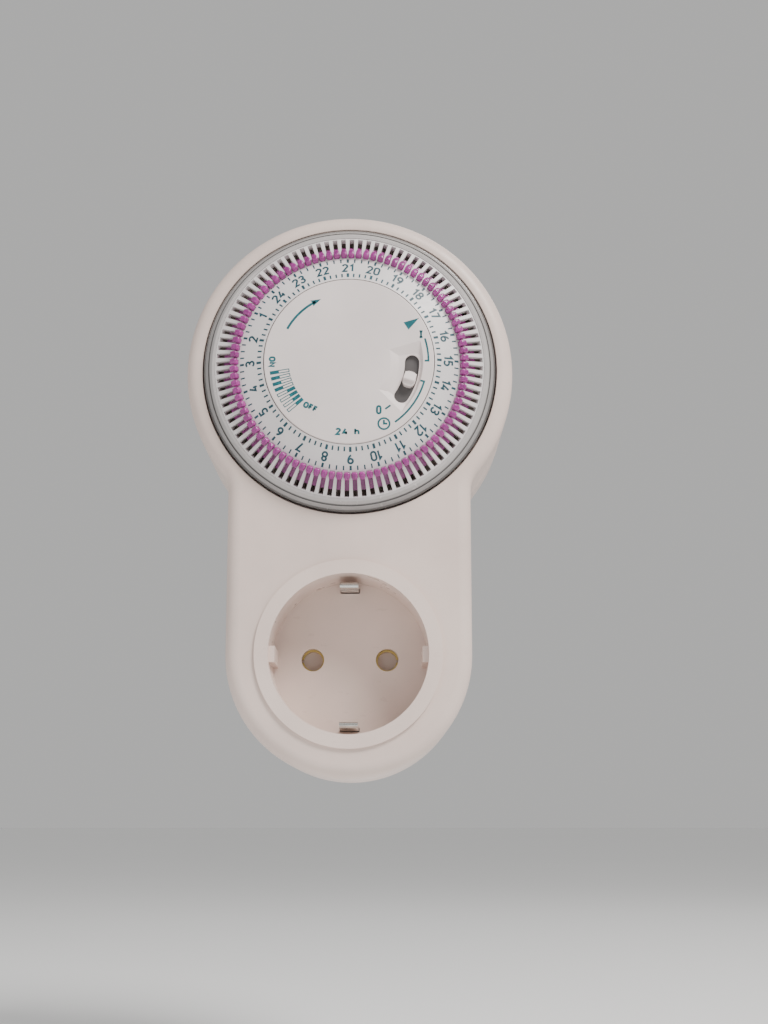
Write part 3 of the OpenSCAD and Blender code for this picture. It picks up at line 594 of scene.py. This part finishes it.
class TIMER_OT_stage(bpy.types.Operator):
    """Pale floor, soft lights and the camera"""

    bl_idname = "timer.stage"
    bl_label = "Stage"

    def execute(self, context):
        studio = context.scene.timer_studio
        paper = Finish("studio_paper", Specular_IOR_Level=0.2)
        tone = paper.mix(paper.noise(3, 2), (0.94, 0.94, 0.935), (0.96, 0.96, 0.955))
        paper.wire("Base Color", tone)
        paper.wire("Roughness", paper.noise(9, 2) * 0.1 + 0.75)
        paper.bump(paper.noise(900, 3), 0.08, 0.0002)
        z = front_low.z - studio.floor_drop
        mesh = bpy.data.meshes.new("studio_floor")
        mesh.from_pydata([(-9, -9, z), (9, -9, z), (9, 9, z), (-9, 9, z)], [], [(0, 1, 2, 3)])
        mesh.materials.append(paper.material)
        floor = bpy.data.objects.new("studio_floor", mesh)
        context.scene.collection.objects.link(floor)

        world = bpy.data.worlds.new("studio")
        world.use_nodes = True
        world.node_tree.nodes["Background"].inputs["Color"].default_value = (0.98, 0.975, 0.965, 1)
        world.node_tree.nodes["Background"].inputs["Strength"].default_value = 0.52
        context.scene.world = world

        centre = Vector((0, FRONT_Y, DIAL_Z / 2))
        lights = (
            ("key", (0.38, -0.46, 0.60), 0.36, studio.key_power, (1.0, 0.975, 0.95)),
            ("fill", (-0.62, -0.46, 0.10), 0.55, studio.fill_power, (0.93, 0.96, 1.0)),
            ("back", (0.25, 0.62, 0.55), 0.5, studio.fill_power, (1.0, 1.0, 1.0)),
        )
        for name, place, size, power, tint in lights:
            light = bpy.data.lights.new(name, "AREA")
            light.shape = "DISK"
            light.size = size
            light.energy = power
            light.color = tint
            lamp = bpy.data.objects.new(name, light)
            lamp.location = centre + Vector(place)
            lamp.rotation_euler = (-Vector(place)).to_track_quat("-Z", "Y").to_euler()
            context.scene.collection.objects.link(lamp)

        view = bpy.data.cameras.new("camera")
        view.sensor_width = 36
        view.lens = studio.lens
        view.clip_start = 0.01
        camera = bpy.data.objects.new("camera", view)
        camera.location = Vector((DIAL_X, FACE_Y, DIAL_Z)) + Vector(studio.camera_at)
        camera.rotation_euler = (math.pi / 2 + studio.rise, 0, 0)
        context.scene.collection.objects.link(camera)
        context.scene.camera = camera
        return {"FINISHED"}


class TIMER_OT_finishes(bpy.types.Operator):
    """Finishes of every node carried over from the frame"""

    bl_idname = "timer.finishes"
    bl_label = "Finishes"

    worn = {
        "casing": ("front_shell", "rear_shell", "plug_body"),
        "socket": ("socket_cup",),
        "face": ("face_disc", "override_knob"),
        "ring": ("programme_ring",),
        "smoke": ("grip_ring",),
        "slate": ("override_lever",),
        "works": (
            "mechanism_plate", "centre_column", "dial_gear", "reduction_wheel", "motor_pinion",
            "feeler_lever",
        ),
        "black": ("switch_case",),
        "red": ("switch_button",),
        "nickel": ("plug_pin_live", "plug_pin_neutral", "earth_strap"),
        "steel": (
            "casing_screws", "plate_screws", "dial_clip", "motor_can", "motor_end_plate",
            "wheel_axle", "feeler_pin", "detent_spring",
        ),
        "brass": (
            "contact_sleeve_live", "contact_sleeve_neutral", "neutral_bar", "switch_terminals",
        ),
        "copper": ("live_in_bar", "live_out_bar", "switch_blade"),
        "coil": ("motor_coil",),
        "magnet": ("rotor_magnet",),
    }

    def execute(self, context):
        mix_finishes(context.scene.timer_colours)
        worn = {node: finish for finish, nodes in self.worn.items() for node in nodes}
        for name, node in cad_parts.items():
            finish = worn.get(name) or ("tripper" if name.startswith("tripper") else None)
            if finish is None:
                raise RuntimeError(f"no finish for {name}")
            node.data.materials.clear()
            node.data.materials.append(finishes[finish])
        return {"FINISHED"}


def casing_outline(inset, sizes):
    """Points of the keyhole outline, anticlockwise from the body's left side."""
    half, head, neck = BODY_HALF - inset, HEAD_R - inset, sizes.neck_round + inset
    reach, side = HEAD_R + sizes.neck_round, BODY_HALF + sizes.neck_round
    corner_z = DIAL_Z - math.sqrt(reach * reach - side * side)
    turn = math.atan2(corner_z - DIAL_Z, side)

    def arc(cx, cz, radius, start, end, steps):
        return [
            (cx + radius * math.cos(start + (end - start) * i / steps),
             cz + radius * math.sin(start + (end - start) * i / steps))
            for i in range(steps + 1)
        ]

    pi = math.pi
    points = arc(0, 0, half, -pi, 0, 84)
    points += arc(side, corner_z, neck, pi, pi + turn, 14)
    points += arc(0, DIAL_Z, head, turn, pi - turn, 132)[1:-1]
    points += arc(-side, corner_z, neck, -turn, 0, 14)
    return points


def casing_half(name, near_y, far_y, node, sizes):
    """One shell: its seam edge at near_y and its rounded face at far_y."""
    way = 1 if far_y > near_y else -1
    rings = [[Vector((x, near_y, z)) for x, z in casing_outline(0.35 * MM, sizes)]]
    rings.append([Vector((x, near_y + way * 0.3 * MM, z)) for x, z in casing_outline(0.0, sizes)])
    steps = 9
    for i in range(steps + 1):
        bend = math.pi / 2 * i / steps
        inset = sizes.edge_round * (1 - math.cos(bend))
        y = far_y - way * sizes.edge_round * (1 - math.sin(bend))
        rings.append([Vector((x, y, z)) for x, z in casing_outline(inset, sizes)])
    verts, faces = lofted(rings)
    made = facing_out(piece(name, verts, faces, "casing", "casing"))
    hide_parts(node)
    return made


def drum(name, radius, y_from, y_to, centre=(0.0, 0.0), steps=128):
    """A closed round tool for cutting."""
    verts, faces = turned_mesh([(radius, y_from), (radius, y_to)], steps, centre, False)
    return facing_out(piece(name, verts, faces, "casing", None))


class TIMER_OT_casing(bpy.types.Operator):
    """Front and back shells with their openings"""

    bl_idname = "timer.casing"
    bl_label = "Casing"

    well_depth = 8 * MM
    cup_rim = 1.45 * MM
    plug_hole = 18.7 * MM
    screw_hole, screw_depth = 3.0 * MM, 3.2 * MM
    # Radii of the rooms for the works behind the dial, and where the feeler's nose stands.
    works_room, wheel_room, pinion_room, feeler_room = 6.6 * MM, 13.4 * MM, 4.4 * MM, 2.5 * MM
    feeler_radius = 34.4 * MM
    soft_edge = 0.18 * MM
    past = 5 * MM

    def execute(self, context):
        sizes = context.scene.timer_sizes
        cup_low, cup_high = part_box("socket_cup")
        wheel_low, wheel_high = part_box("reduction_wheel")
        cup_radius = (cup_high.x - cup_low.x) / 2 - self.cup_rim
        well_floor = FRONT_Y + self.well_depth
        front = casing_half("casing_front", SEAM_Y - 1 * MM, FRONT_Y, "front_shell", sizes)
        nose = on_axis(self.feeler_radius, sizes.pointer_angle, 0, DIAL)
        wheel_at = ((wheel_low.x + wheel_high.x) / 2, (wheel_low.z + wheel_high.z) / 2)
        before, behind = FRONT_Y - self.past, SEAM_Y + self.past
        carve(front, [
            drum("dial_well", GRIP_R + sizes.well_gap, before, well_floor, DIAL, 192),
            drum("cup_hole", cup_radius, before, cup_high.y + 2 * MM),
            drum("works_room", self.works_room, FRONT_Y, behind, DIAL, 48),
            drum("wheel_room", self.wheel_room, well_floor + 2 * MM, behind, wheel_at, 64),
            drum("pinion_room", self.pinion_room, FRONT_Y, SEAM_Y, wheel_at, 48),
            drum("feeler_room", self.feeler_room, FRONT_Y, SEAM_Y, (nose.x, nose.z), 48),
        ])
        soften(front, self.soft_edge)

        back = casing_half("casing_back", SEAM_Y, BACK_Y, "rear_shell", sizes)
        beyond = BACK_Y + self.past
        carve(back, [drum("plug_hole", self.plug_hole, SEAM_Y - self.past, beyond)] + [
            drum(f"screw_hole_{i}", self.screw_hole, BACK_Y - self.screw_depth, beyond, at, 48)
            for i, at in enumerate(screw_places())
        ])
        soften(back, self.soft_edge)
        return {"FINISHED"}


def screw_places():
    """Centres of the casing screws, one in each quarter around the dial's height."""
    points = [v.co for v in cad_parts["casing_screws"].data.vertices]
    places = []
    for right in (False, True):
        for upper in (False, True):
            group = [p for p in points if (p.x > 0) == right and (p.z > DIAL_Z) == upper]
            xs, zs = [p.x for p in group], [p.z for p in group]
            places.append(((min(xs) + max(xs)) / 2, (min(zs) + max(zs)) / 2))
    return places


def arc_band(inner, outer, start, end, steps=48):
    """Outline of a band between two radii, anticlockwise."""
    out = [polar(outer, start + (end - start) * i / steps) for i in range(steps + 1)]
    back = [polar(inner, end + (start - end) * i / steps) for i in range(steps + 1)]
    return out + back


def slot_outline(track, half_width, start, end, steps=40, cap=14):
    """Outline of a curved slot with round ends."""

    def round_end(angle, side):
        cx, cz = polar(track, angle)
        turns = [polar(side * half_width, angle + math.pi * i / cap) for i in range(1, cap)]
        return [(cx + x, cz + z) for x, z in turns]

    shares = [i / steps for i in range(steps + 1)]
    points = [polar(track + half_width, start + (end - start) * t) for t in shares]
    points += round_end(end, 1)
    points += [polar(track - half_width, end + (start - end) * t) for t in shares]
    return points + round_end(start, -1)


class TIMER_OT_face(bpy.types.Operator):
    """Fixed disc with the sunk panel and the slot of the override knob"""

    bl_idname = "timer.face"
    bl_label = "Fixed disc"

    plate = 1.6 * MM
    slot_half, slot_turn = 1.8 * MM, math.radians(17)

    def execute(self, context):
        sizes = context.scene.timer_sizes
        bottom = FACE_Y + self.plate
        verts, faces = turned_mesh([
            (FACE_R, bottom), (FACE_R, FACE_Y + 0.22 * MM),
            (FACE_R - 0.06 * MM, FACE_Y + 0.08 * MM), (FACE_R - 0.22 * MM, FACE_Y),
        ], 256, DIAL, False)
        disc = facing_out(piece("face_plate", verts, faces, "face", "casing"))
        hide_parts("face_disc")

        middle = sizes.knob_angle
        # Sloped walls: broad at the top and towards the middle, steep on the outside.
        rings = []
        for sunk, grow in ((-0.3, 1.2), (0.0, 1.0), (0.08, 0.93), (1.0, 0.06), (1.06, 0.0)):
            rings.append([
                Vector((DIAL_X + x, FACE_Y + sunk * MM, DIAL_Z + z))
                for x, z in arc_band(
                    (12.4 - 2.0 * grow) * MM, (17.85 + 0.6 * grow) * MM,
                    middle - math.radians(21 + 7 * grow), middle + math.radians(24.6 + 8.8 * grow),
                )
            ])
        verts, faces = lofted(rings)
        panel = facing_out(piece("sunk_panel", verts, faces, "face", None))
        track = slot_outline(
            sizes.knob_track, self.slot_half, middle - self.slot_turn, middle + self.slot_turn
        )
        verts, faces = lofted([
            [Vector((DIAL_X + x, y, DIAL_Z + z)) for x, z in track]
            for y in (FACE_Y - 1 * MM, bottom + 1 * MM)
        ])
        slot_tool = facing_out(piece("knob_slot", verts, faces, "face", None))
        carve(disc, [panel, slot_tool])
        soften(disc, 0.10 * MM, 2, 24)
        return {"FINISHED"}


class TIMER_OT_face_print(bpy.types.Operator):
    """Pointer, turning arrow, on and off pictures and the override signs"""

    bl_idname = "timer.face_print"
    bl_label = "Disc printing"

    def execute(self, context):
        sizes = context.scene.timer_sizes
        ink = Print(sizes.ink)
        rad = math.radians
        disc = flat_lay(0, 0, 0)

        point = flat_lay(20.7 * MM, rad(32.4), rad(32.8))
        ink.fill([(0, 0), (-3.9 * MM, 1.15 * MM), (-3.9 * MM, -1.15 * MM)], point)

        sweep = [polar(17.5 * MM, rad(a)) for a in range(152, 118, -1)]
        ink.stroke(sweep, 0.6 * MM, disc)
        tip = flat_lay(17.5 * MM, rad(113.8), rad(116.4 - 90))
        ink.fill([(0, 0), (-2.6 * MM, 0.85 * MM), (-2.3 * MM, 0), (-2.6 * MM, -0.85 * MM)], tip)

        for i in range(8):
            bar = flat_lay(0, 0, rad(189.35 + 4.45 * i))
            half = 0.45 * MM
            inner, outer = 15.0 * MM, 19.9 * MM
            split = 17.85 * MM if i < 4 else 17.0 * MM
            full = (split, outer) if i < 4 else (inner, split)
            open_part = (inner, split) if i < 4 else (split, outer)
            ink.fill([(full[0], -half), (full[1], -half), (full[1], half), (full[0], half)], bar)
            edge = half - 0.11 * MM
            a, b = open_part[0] + 0.11 * MM, open_part[1] - 0.11 * MM
            ink.stroke([(a, -edge), (b, -edge), (b, edge), (a, edge), (a, -edge)], 0.22 * MM, bar)
        ink.text("ON", 1.25 * MM, 0.48 * MM, flat_lay(19.1 * MM, rad(180.8), rad(-90)), 0.42, 1.1)
        ink.text("OFF", 1.2 * MM, 0.48 * MM, flat_lay(15.2 * MM, rad(231.3), rad(-26)), 0.44, 1.1)

        ink.text("I", 1.55 * MM, 0.5 * MM, flat_lay(19.2 * MM, rad(20.9), 0))
        upper = [polar(19.75 * MM, rad(a)) for a in range(17, -1, -1)]
        ink.stroke(upper + [polar(18.8 * MM, 0)], 0.48 * MM, disc)
        lower = [polar(19.4 * MM, rad(a)) for a in range(-16, -55, -1)]
        ink.stroke([polar(18.4 * MM, rad(-16))] + lower, 0.48 * MM, disc)
        clock = flat_lay(18.3 * MM, rad(-61.7), 0)
        ink.stroke(bow(0, 0, 1.4 * MM, 1.4 * MM, 0, 360, 40), 0.46 * MM, clock)
        ink.stroke([(0, 0.95 * MM), (0, 0), (0.85 * MM, 0)], 0.5 * MM, clock)
        ink.text("0", 1.85 * MM, 0.52 * MM, flat_lay(14.6 * MM, rad(-59.5), 0))
        ink.stroke([polar(15.3 * MM, rad(-54)), polar(15.4 * MM, rad(-47.9))], 0.46 * MM, disc)
        ink.text("24 h", 1.4 * MM, 0.5 * MM, flat_lay(18.1 * MM, rad(-91), 0), 0.55, 1.4)
        ink.piece("face_print", "ink", "casing", "grey_plastic")
        return {"FINISHED"}


class TIMER_OT_ring_print(bpy.types.Operator):
    """Hour numerals and the two rows of quarter-hour ticks"""

    bl_idname = "timer.ring_print"
    bl_label = "Ring printing"

    def execute(self, context):
        sizes = context.scene.timer_sizes
        ink = Print(sizes.ink)
        per_hour = sizes.segments // HOURS
        for i in range(sizes.segments):
            angle = hour_angle(i / per_hour, sizes)
            whole = i % per_hour == 0
            half = (0.31 if whole else 0.2) * MM
            inner = cone_lay(21.9 * MM, angle, sizes)
            long_in = (1.3 if whole else 1.15) * MM
            ink.fill([(-half, 0), (half, 0), (half, long_in), (-half, long_in)], inner)
            outer = cone_lay(26.3 * MM, angle, sizes)
            half = (0.28 if whole else 0.18) * MM
            ink.fill([(-half, 0), (half, 0), (half, 1.15 * MM), (-half, 1.15 * MM)], outer)
        for hour in range(1, HOURS + 1):
            ink.text(
                str(hour), sizes.numeral_height, 0.5 * MM,
                cone_lay(24.75 * MM, hour_angle(hour, sizes), sizes), 0.3, 1.14,
            )
        ink.piece("ring_print", "ring_ink", "dial", "grey_plastic")
        return {"FINISHED"}


def block(work, x, y, z):
    """Adds a box between pairs of bounds to a bmesh."""
    made = bmesh.ops.create_cube(work, size=1)
    for v in made["verts"]:
        v.co = Vector((x[0] + (v.co.x + 0.5) * (x[1] - x[0]), y[0] + (v.co.y + 0.5) * (y[1] - y[0]),
                       z[0] + (v.co.z + 0.5) * (z[1] - z[0])))
    return made["verts"]


def tripper_mesh(sizes):
    """One tripper in its own frame: X down the slope, Z out of the ring."""
    slope = (RING_R - 0.3 * MM - sizes.slot_from) / math.cos(sizes.cone_angle)
    work = bmesh.new()
    top, wide, lift = 1.6 * MM, 0.76 * MM, 0.03 * MM
    waist_x, tail_x, tail, corner = 1.15 * MM, 1.85 * MM, 0.52 * MM, 0.42 * MM

    def contour(inset, z):
        """Head seen from above: two rounded corners, a waist and a narrower tail."""
        side, end = wide - inset, tail - inset * 0.7
        round_off = [(-math.cos(a), math.sin(a)) for a in [math.pi / 2 * i / 6 for i in range(7)]]
        half = [
            (inset + corner * (1 + c), side - corner + corner * d) for c, d in round_off
        ] + [(waist_x, side), (tail_x - inset, end)]
        points = half + [(x, -y) for x, y in reversed(half)]
        return [work.verts.new((x, y, z)) for x, y in points]

    levels = [(0.10, 0.0), (0.0, 0.12), (0.0, top / MM - 0.42), (0.06, top / MM - 0.2),
              (0.17, top / MM - 0.07), (0.34, top / MM)]
    rings = [contour(inset * MM, z * MM + lift) for inset, z in levels]
    for lower, upper in zip(rings, rings[1:]):
        for i in range(len(lower)):
            j = (i + 1) % len(lower)
            work.faces.new((lower[i], lower[j], upper[j], upper[i]))
    work.faces.new(rings[0][::-1])
    work.faces.new(rings[-1])
    # Three low ribs across the head for a fingernail.
    for x in (0.45, 0.86, 1.27):
        half = 0.36 * MM
        rib = [
            (x * MM + dx * MM, z * MM + lift)
            for dx, z in ((-0.13, 1.52), (-0.09, 1.63), (0, 1.68), (0.09, 1.63), (0.13, 1.52))
        ]
        rings = [[work.verts.new((px, y, pz)) for px, pz in rib] for y in (-half, half)]
        for i in range(len(rib)):
            j = (i + 1) % len(rib)
            work.faces.new((rings[0][i], rings[0][j], rings[1][j], rings[1][i]))
        work.faces.new(rings[0][::-1])
        work.faces.new(rings[1])
    under = -sizes.ring_thickness - 0.03 * MM
    neck, foot = sizes.slot_width / 2 - 0.07 * MM, sizes.slot_width / 2 + 0.15 * MM
    foot_end, foot_thick, lug, lug_drop = slope - 1.4 * MM, 0.7 * MM, 0.9 * MM, 2.0 * MM
    neck_end = slope - sizes.travel - 0.12 * MM
    block(work, (0.06 * MM, 1.85 * MM), (-neck, neck), (under - foot_thick, 0.3 * MM))
    if neck_end > 1.85 * MM:
        block(work, (1.8 * MM, neck_end), (-neck, neck), (under - foot_thick, -0.35 * MM))
    block(work, (-0.35 * MM, foot_end), (-foot, foot), (under - foot_thick, under))
    block(work, (foot_end - lug, foot_end), (-foot, foot), (under - lug_drop, under - foot_thick))
    bmesh.ops.recalc_face_normals(work, faces=work.faces)
    mesh = bpy.data.meshes.new("tripper")
    work.to_mesh(mesh)
    work.free()
    mesh.materials.append(finishes["tripper"])
    mesh.shade_smooth()
    mesh.set_sharp_from_angle(angle=math.radians(36))
    return mesh


def segment_place(index, sizes):
    """Where the tripper of that quarter hour stands."""
    angle = hour_angle((index + 0.5) / (sizes.segments // HOURS), sizes)
    outwards = Vector((math.cos(angle), 0, math.sin(angle)))
    slope = sizes.cone_angle
    x_axis = outwards * math.cos(slope) + Vector((0, 1, 0)) * math.sin(slope)
    z_axis = outwards * math.sin(slope) - Vector((0, 1, 0)) * math.cos(slope)
    y_axis = z_axis.cross(x_axis)
    at = on_axis(sizes.slot_from, angle, cone_y(sizes.slot_from, sizes), DIAL)
    return Matrix.Translation(at) @ Matrix((x_axis, y_axis, z_axis)).transposed().to_4x4()


class TIMER_OT_trippers(bpy.types.Operator):
    """All trippers: the loose ones each on its own body, the others on the dial"""

    bl_idname = "timer.trippers"
    bl_label = "Trippers"

    def execute(self, context):
        sizes = context.scene.timer_sizes
        base = tripper_mesh(sizes)
        loose = sorted(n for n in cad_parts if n.startswith("tripper_") and n != "tripper_set")
        places = {}
        for name in loose:
            low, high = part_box(name)
            angle = math.atan2((low.z + high.z) / 2 - DIAL_Z, (low.x + high.x) / 2 - DIAL_X)
            turn = (angle - hour_angle(0, sizes)) / math.radians(360 / sizes.segments) - 0.5
            places[round(turn) % sizes.segments] = name
        if len(places) != len(loose):
            raise RuntimeError("two loose trippers share a slot")
        rest = bmesh.new()
        for index in range(sizes.segments):
            place = segment_place(index, sizes)
            if index in places:
                name = places[index]
                made = bpy.data.objects.new(f"slider_{name[-2:]}", base)
                made.matrix_world = place
                context.scene.collection.objects.link(made)
                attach(made, name)
                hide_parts(name)
            else:
                start = len(rest.verts)
                rest.from_mesh(base)
                rest.verts.ensure_lookup_table()
                for v in rest.verts[start:]:
                    v.co = place @ v.co
        mesh = base.copy()
        mesh.name = "sliders_at_rest"
        rest.to_mesh(mesh)
        rest.free()
        mesh.shade_smooth()
        mesh.set_sharp_from_angle(angle=math.radians(36))
        made = bpy.data.objects.new("sliders_at_rest", mesh)
        context.scene.collection.objects.link(made)
        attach(made, "dial")
        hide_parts("tripper_set")
        return {"FINISHED"}


class TIMER_OT_grip_ring(bpy.types.Operator):
    """See-through grip ring with fine steps round its flare"""

    bl_idname = "timer.grip_ring"
    bl_label = "Grip ring"

    def execute(self, context):
        sizes = context.scene.timer_sizes
        inner = RING_R + 0.03 * MM
        lip_y = cone_y(RING_R, sizes) - 0.15 * MM
        skirt_y = grip_high.y
        # Across the flare from the ring outwards: (share of the way, depth below the flare).
        flare = [(RING_R + 0.7 * MM, lip_y), (GRIP_R, FRONT_Y - 0.6 * MM)]
        profile = [(inner, lip_y + 0.06 * MM), (inner + 0.06 * MM, lip_y)]
        for t, sink in (
            (0, 0), (0.16, 0), (0.2, 0.03), (0.36, 0.03), (0.38, 0.22), (0.46, 0.22), (0.48, 0.02),
            (0.66, 0), (0.7, 0.06), (0.78, 0.06), (0.82, 0), (0.97, 0.02),
        ):
            x = flare[0][0] + (flare[1][0] - flare[0][0]) * t
            y = flare[0][1] + (flare[1][1] - flare[0][1]) * t
            profile.append((x - sink * 0.4 * MM, y + sink * MM))
        under = cone_y(RING_R, sizes) + sizes.ring_thickness / math.cos(sizes.cone_angle) - 0.2 * MM
        skirt = 0.4 * MM
        profile += [
            (GRIP_R, FRONT_Y - 0.5 * MM), (GRIP_R, skirt_y - 0.06 * MM),
            (GRIP_R - 0.06 * MM, skirt_y),
            (GRIP_R - skirt, skirt_y),
            (GRIP_R - skirt, under + math.tan(sizes.cone_angle) * (GRIP_R - skirt - RING_R)),
            (inner, under),
        ]
        verts, faces = turned_mesh(profile, 256, DIAL)
        made = facing_out(piece("grip_flare", verts, faces, "smoke", "dial", 26))
        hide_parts("grip_ring")
        return {"FINISHED"}


class TIMER_OT_knob(bpy.types.Operator):
    """Override knob with its crest"""

    bl_idname = "timer.knob"
    bl_label = "Override knob"

    def execute(self, context):
        sizes = context.scene.timer_sizes
        low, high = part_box("override_knob")
        angle, track = sizes.knob_angle, sizes.knob_track
        along = Vector((-math.sin(angle), 0, math.cos(angle)))
        across = Vector((math.cos(angle), 0, math.sin(angle)))
        at = on_axis(track, angle, 0, DIAL)
        half_w, reach = 1.6 * MM, 0.3 * MM
        top, foot = low.y, high.y

        def contour(shrink, y):
            points = []
            for i in range(32):
                a = 2 * math.pi * (i + 0.5) / 32
                u = (half_w - shrink) * math.copysign(abs(math.cos(a)) ** 0.62, math.cos(a))
                v = (half_w - shrink) * math.sin(a) + math.copysign(reach, math.sin(a))
                points.append(at + across * u + along * v + Vector((0, y, 0)))
            return points

        body_top = top + 0.8 * MM
        rings = [
            contour(0, foot), contour(0, body_top + 0.12 * MM),
            contour(0.05 * MM, body_top + 0.03 * MM), contour(0.16 * MM, body_top),
        ]
        verts, faces = lofted(rings)
        # A wedge climbs down the track to a crest across it and drops to a ledge.
        rings = []
        for upper, lower, wide, y in (
            (1.62, -0.70, 1.46, body_top + 0.12 * MM), (1.56, -0.66, 1.43, body_top - 0.03 * MM),
            (-0.20, -0.54, 1.38, top + 0.05 * MM), (-0.28, -0.48, 1.32, top),
        ):
            rings.append([
                at + across * u * wide * MM + along * v * MM + Vector((0, y, 0))
                for u, v in (
                    (-1, lower + 0.05), (-0.94, lower), (0.94, lower), (1, lower + 0.05),
                    (1, upper - 0.05), (0.7, upper), (-0.7, upper), (-1, upper - 0.05),
                )
            ])
        more_verts, more_faces = lofted(rings)
        start = len(verts)
        verts = list(verts) + list(more_verts)
        faces = list(faces) + [[start + i for i in face] for face in more_faces]
        made = facing_out(piece("knob", verts, faces, "face", "override", 28))
        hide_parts("override_knob")
        return {"FINISHED"}


class TIMER_PT_panel(bpy.types.Panel):
    """Lists the steps that build the timer's looks"""

    bl_idname = "TIMER_PT_panel"
    bl_label = "Segment timer"
    bl_space_type = "VIEW_3D"
    bl_region_type = "UI"
    bl_category = "Timer"

    def draw(self, context):
        for step in steps_in_order:
            self.layout.operator(step.bl_idname)
        for name in groups:
            group = getattr(context.scene, name)
            box = self.layout.box()
            for key in group.__annotations__:
                box.prop(group, key)


steps_in_order = (
    TIMER_OT_stage, TIMER_OT_finishes, TIMER_OT_casing, TIMER_OT_face, TIMER_OT_face_print,
    TIMER_OT_ring_print, TIMER_OT_trippers, TIMER_OT_grip_ring, TIMER_OT_knob,
)
groups = {
    "timer_sizes": TimerSizes, "timer_colours": TimerColours, "timer_studio": TimerStudio,
}


def register():
    for group in groups.values():
        bpy.utils.register_class(group)
    for name, group in groups.items():
        setattr(bpy.types.Scene, name, PointerProperty(type=group))
    for step in steps_in_order:
        bpy.utils.register_class(step)
    bpy.utils.register_class(TIMER_PT_panel)


def unregister():
    bpy.utils.unregister_class(TIMER_PT_panel)
    for step in reversed(steps_in_order):
        bpy.utils.unregister_class(step)
    for name, group in groups.items():
        delattr(bpy.types.Scene, name)
        bpy.utils.unregister_class(group)


def main():
    register()
    for step in steps_in_order:
        category, name = step.bl_idname.split(".")
        getattr(getattr(bpy.ops, category), name)()


if __name__ == "__main__":
    main()
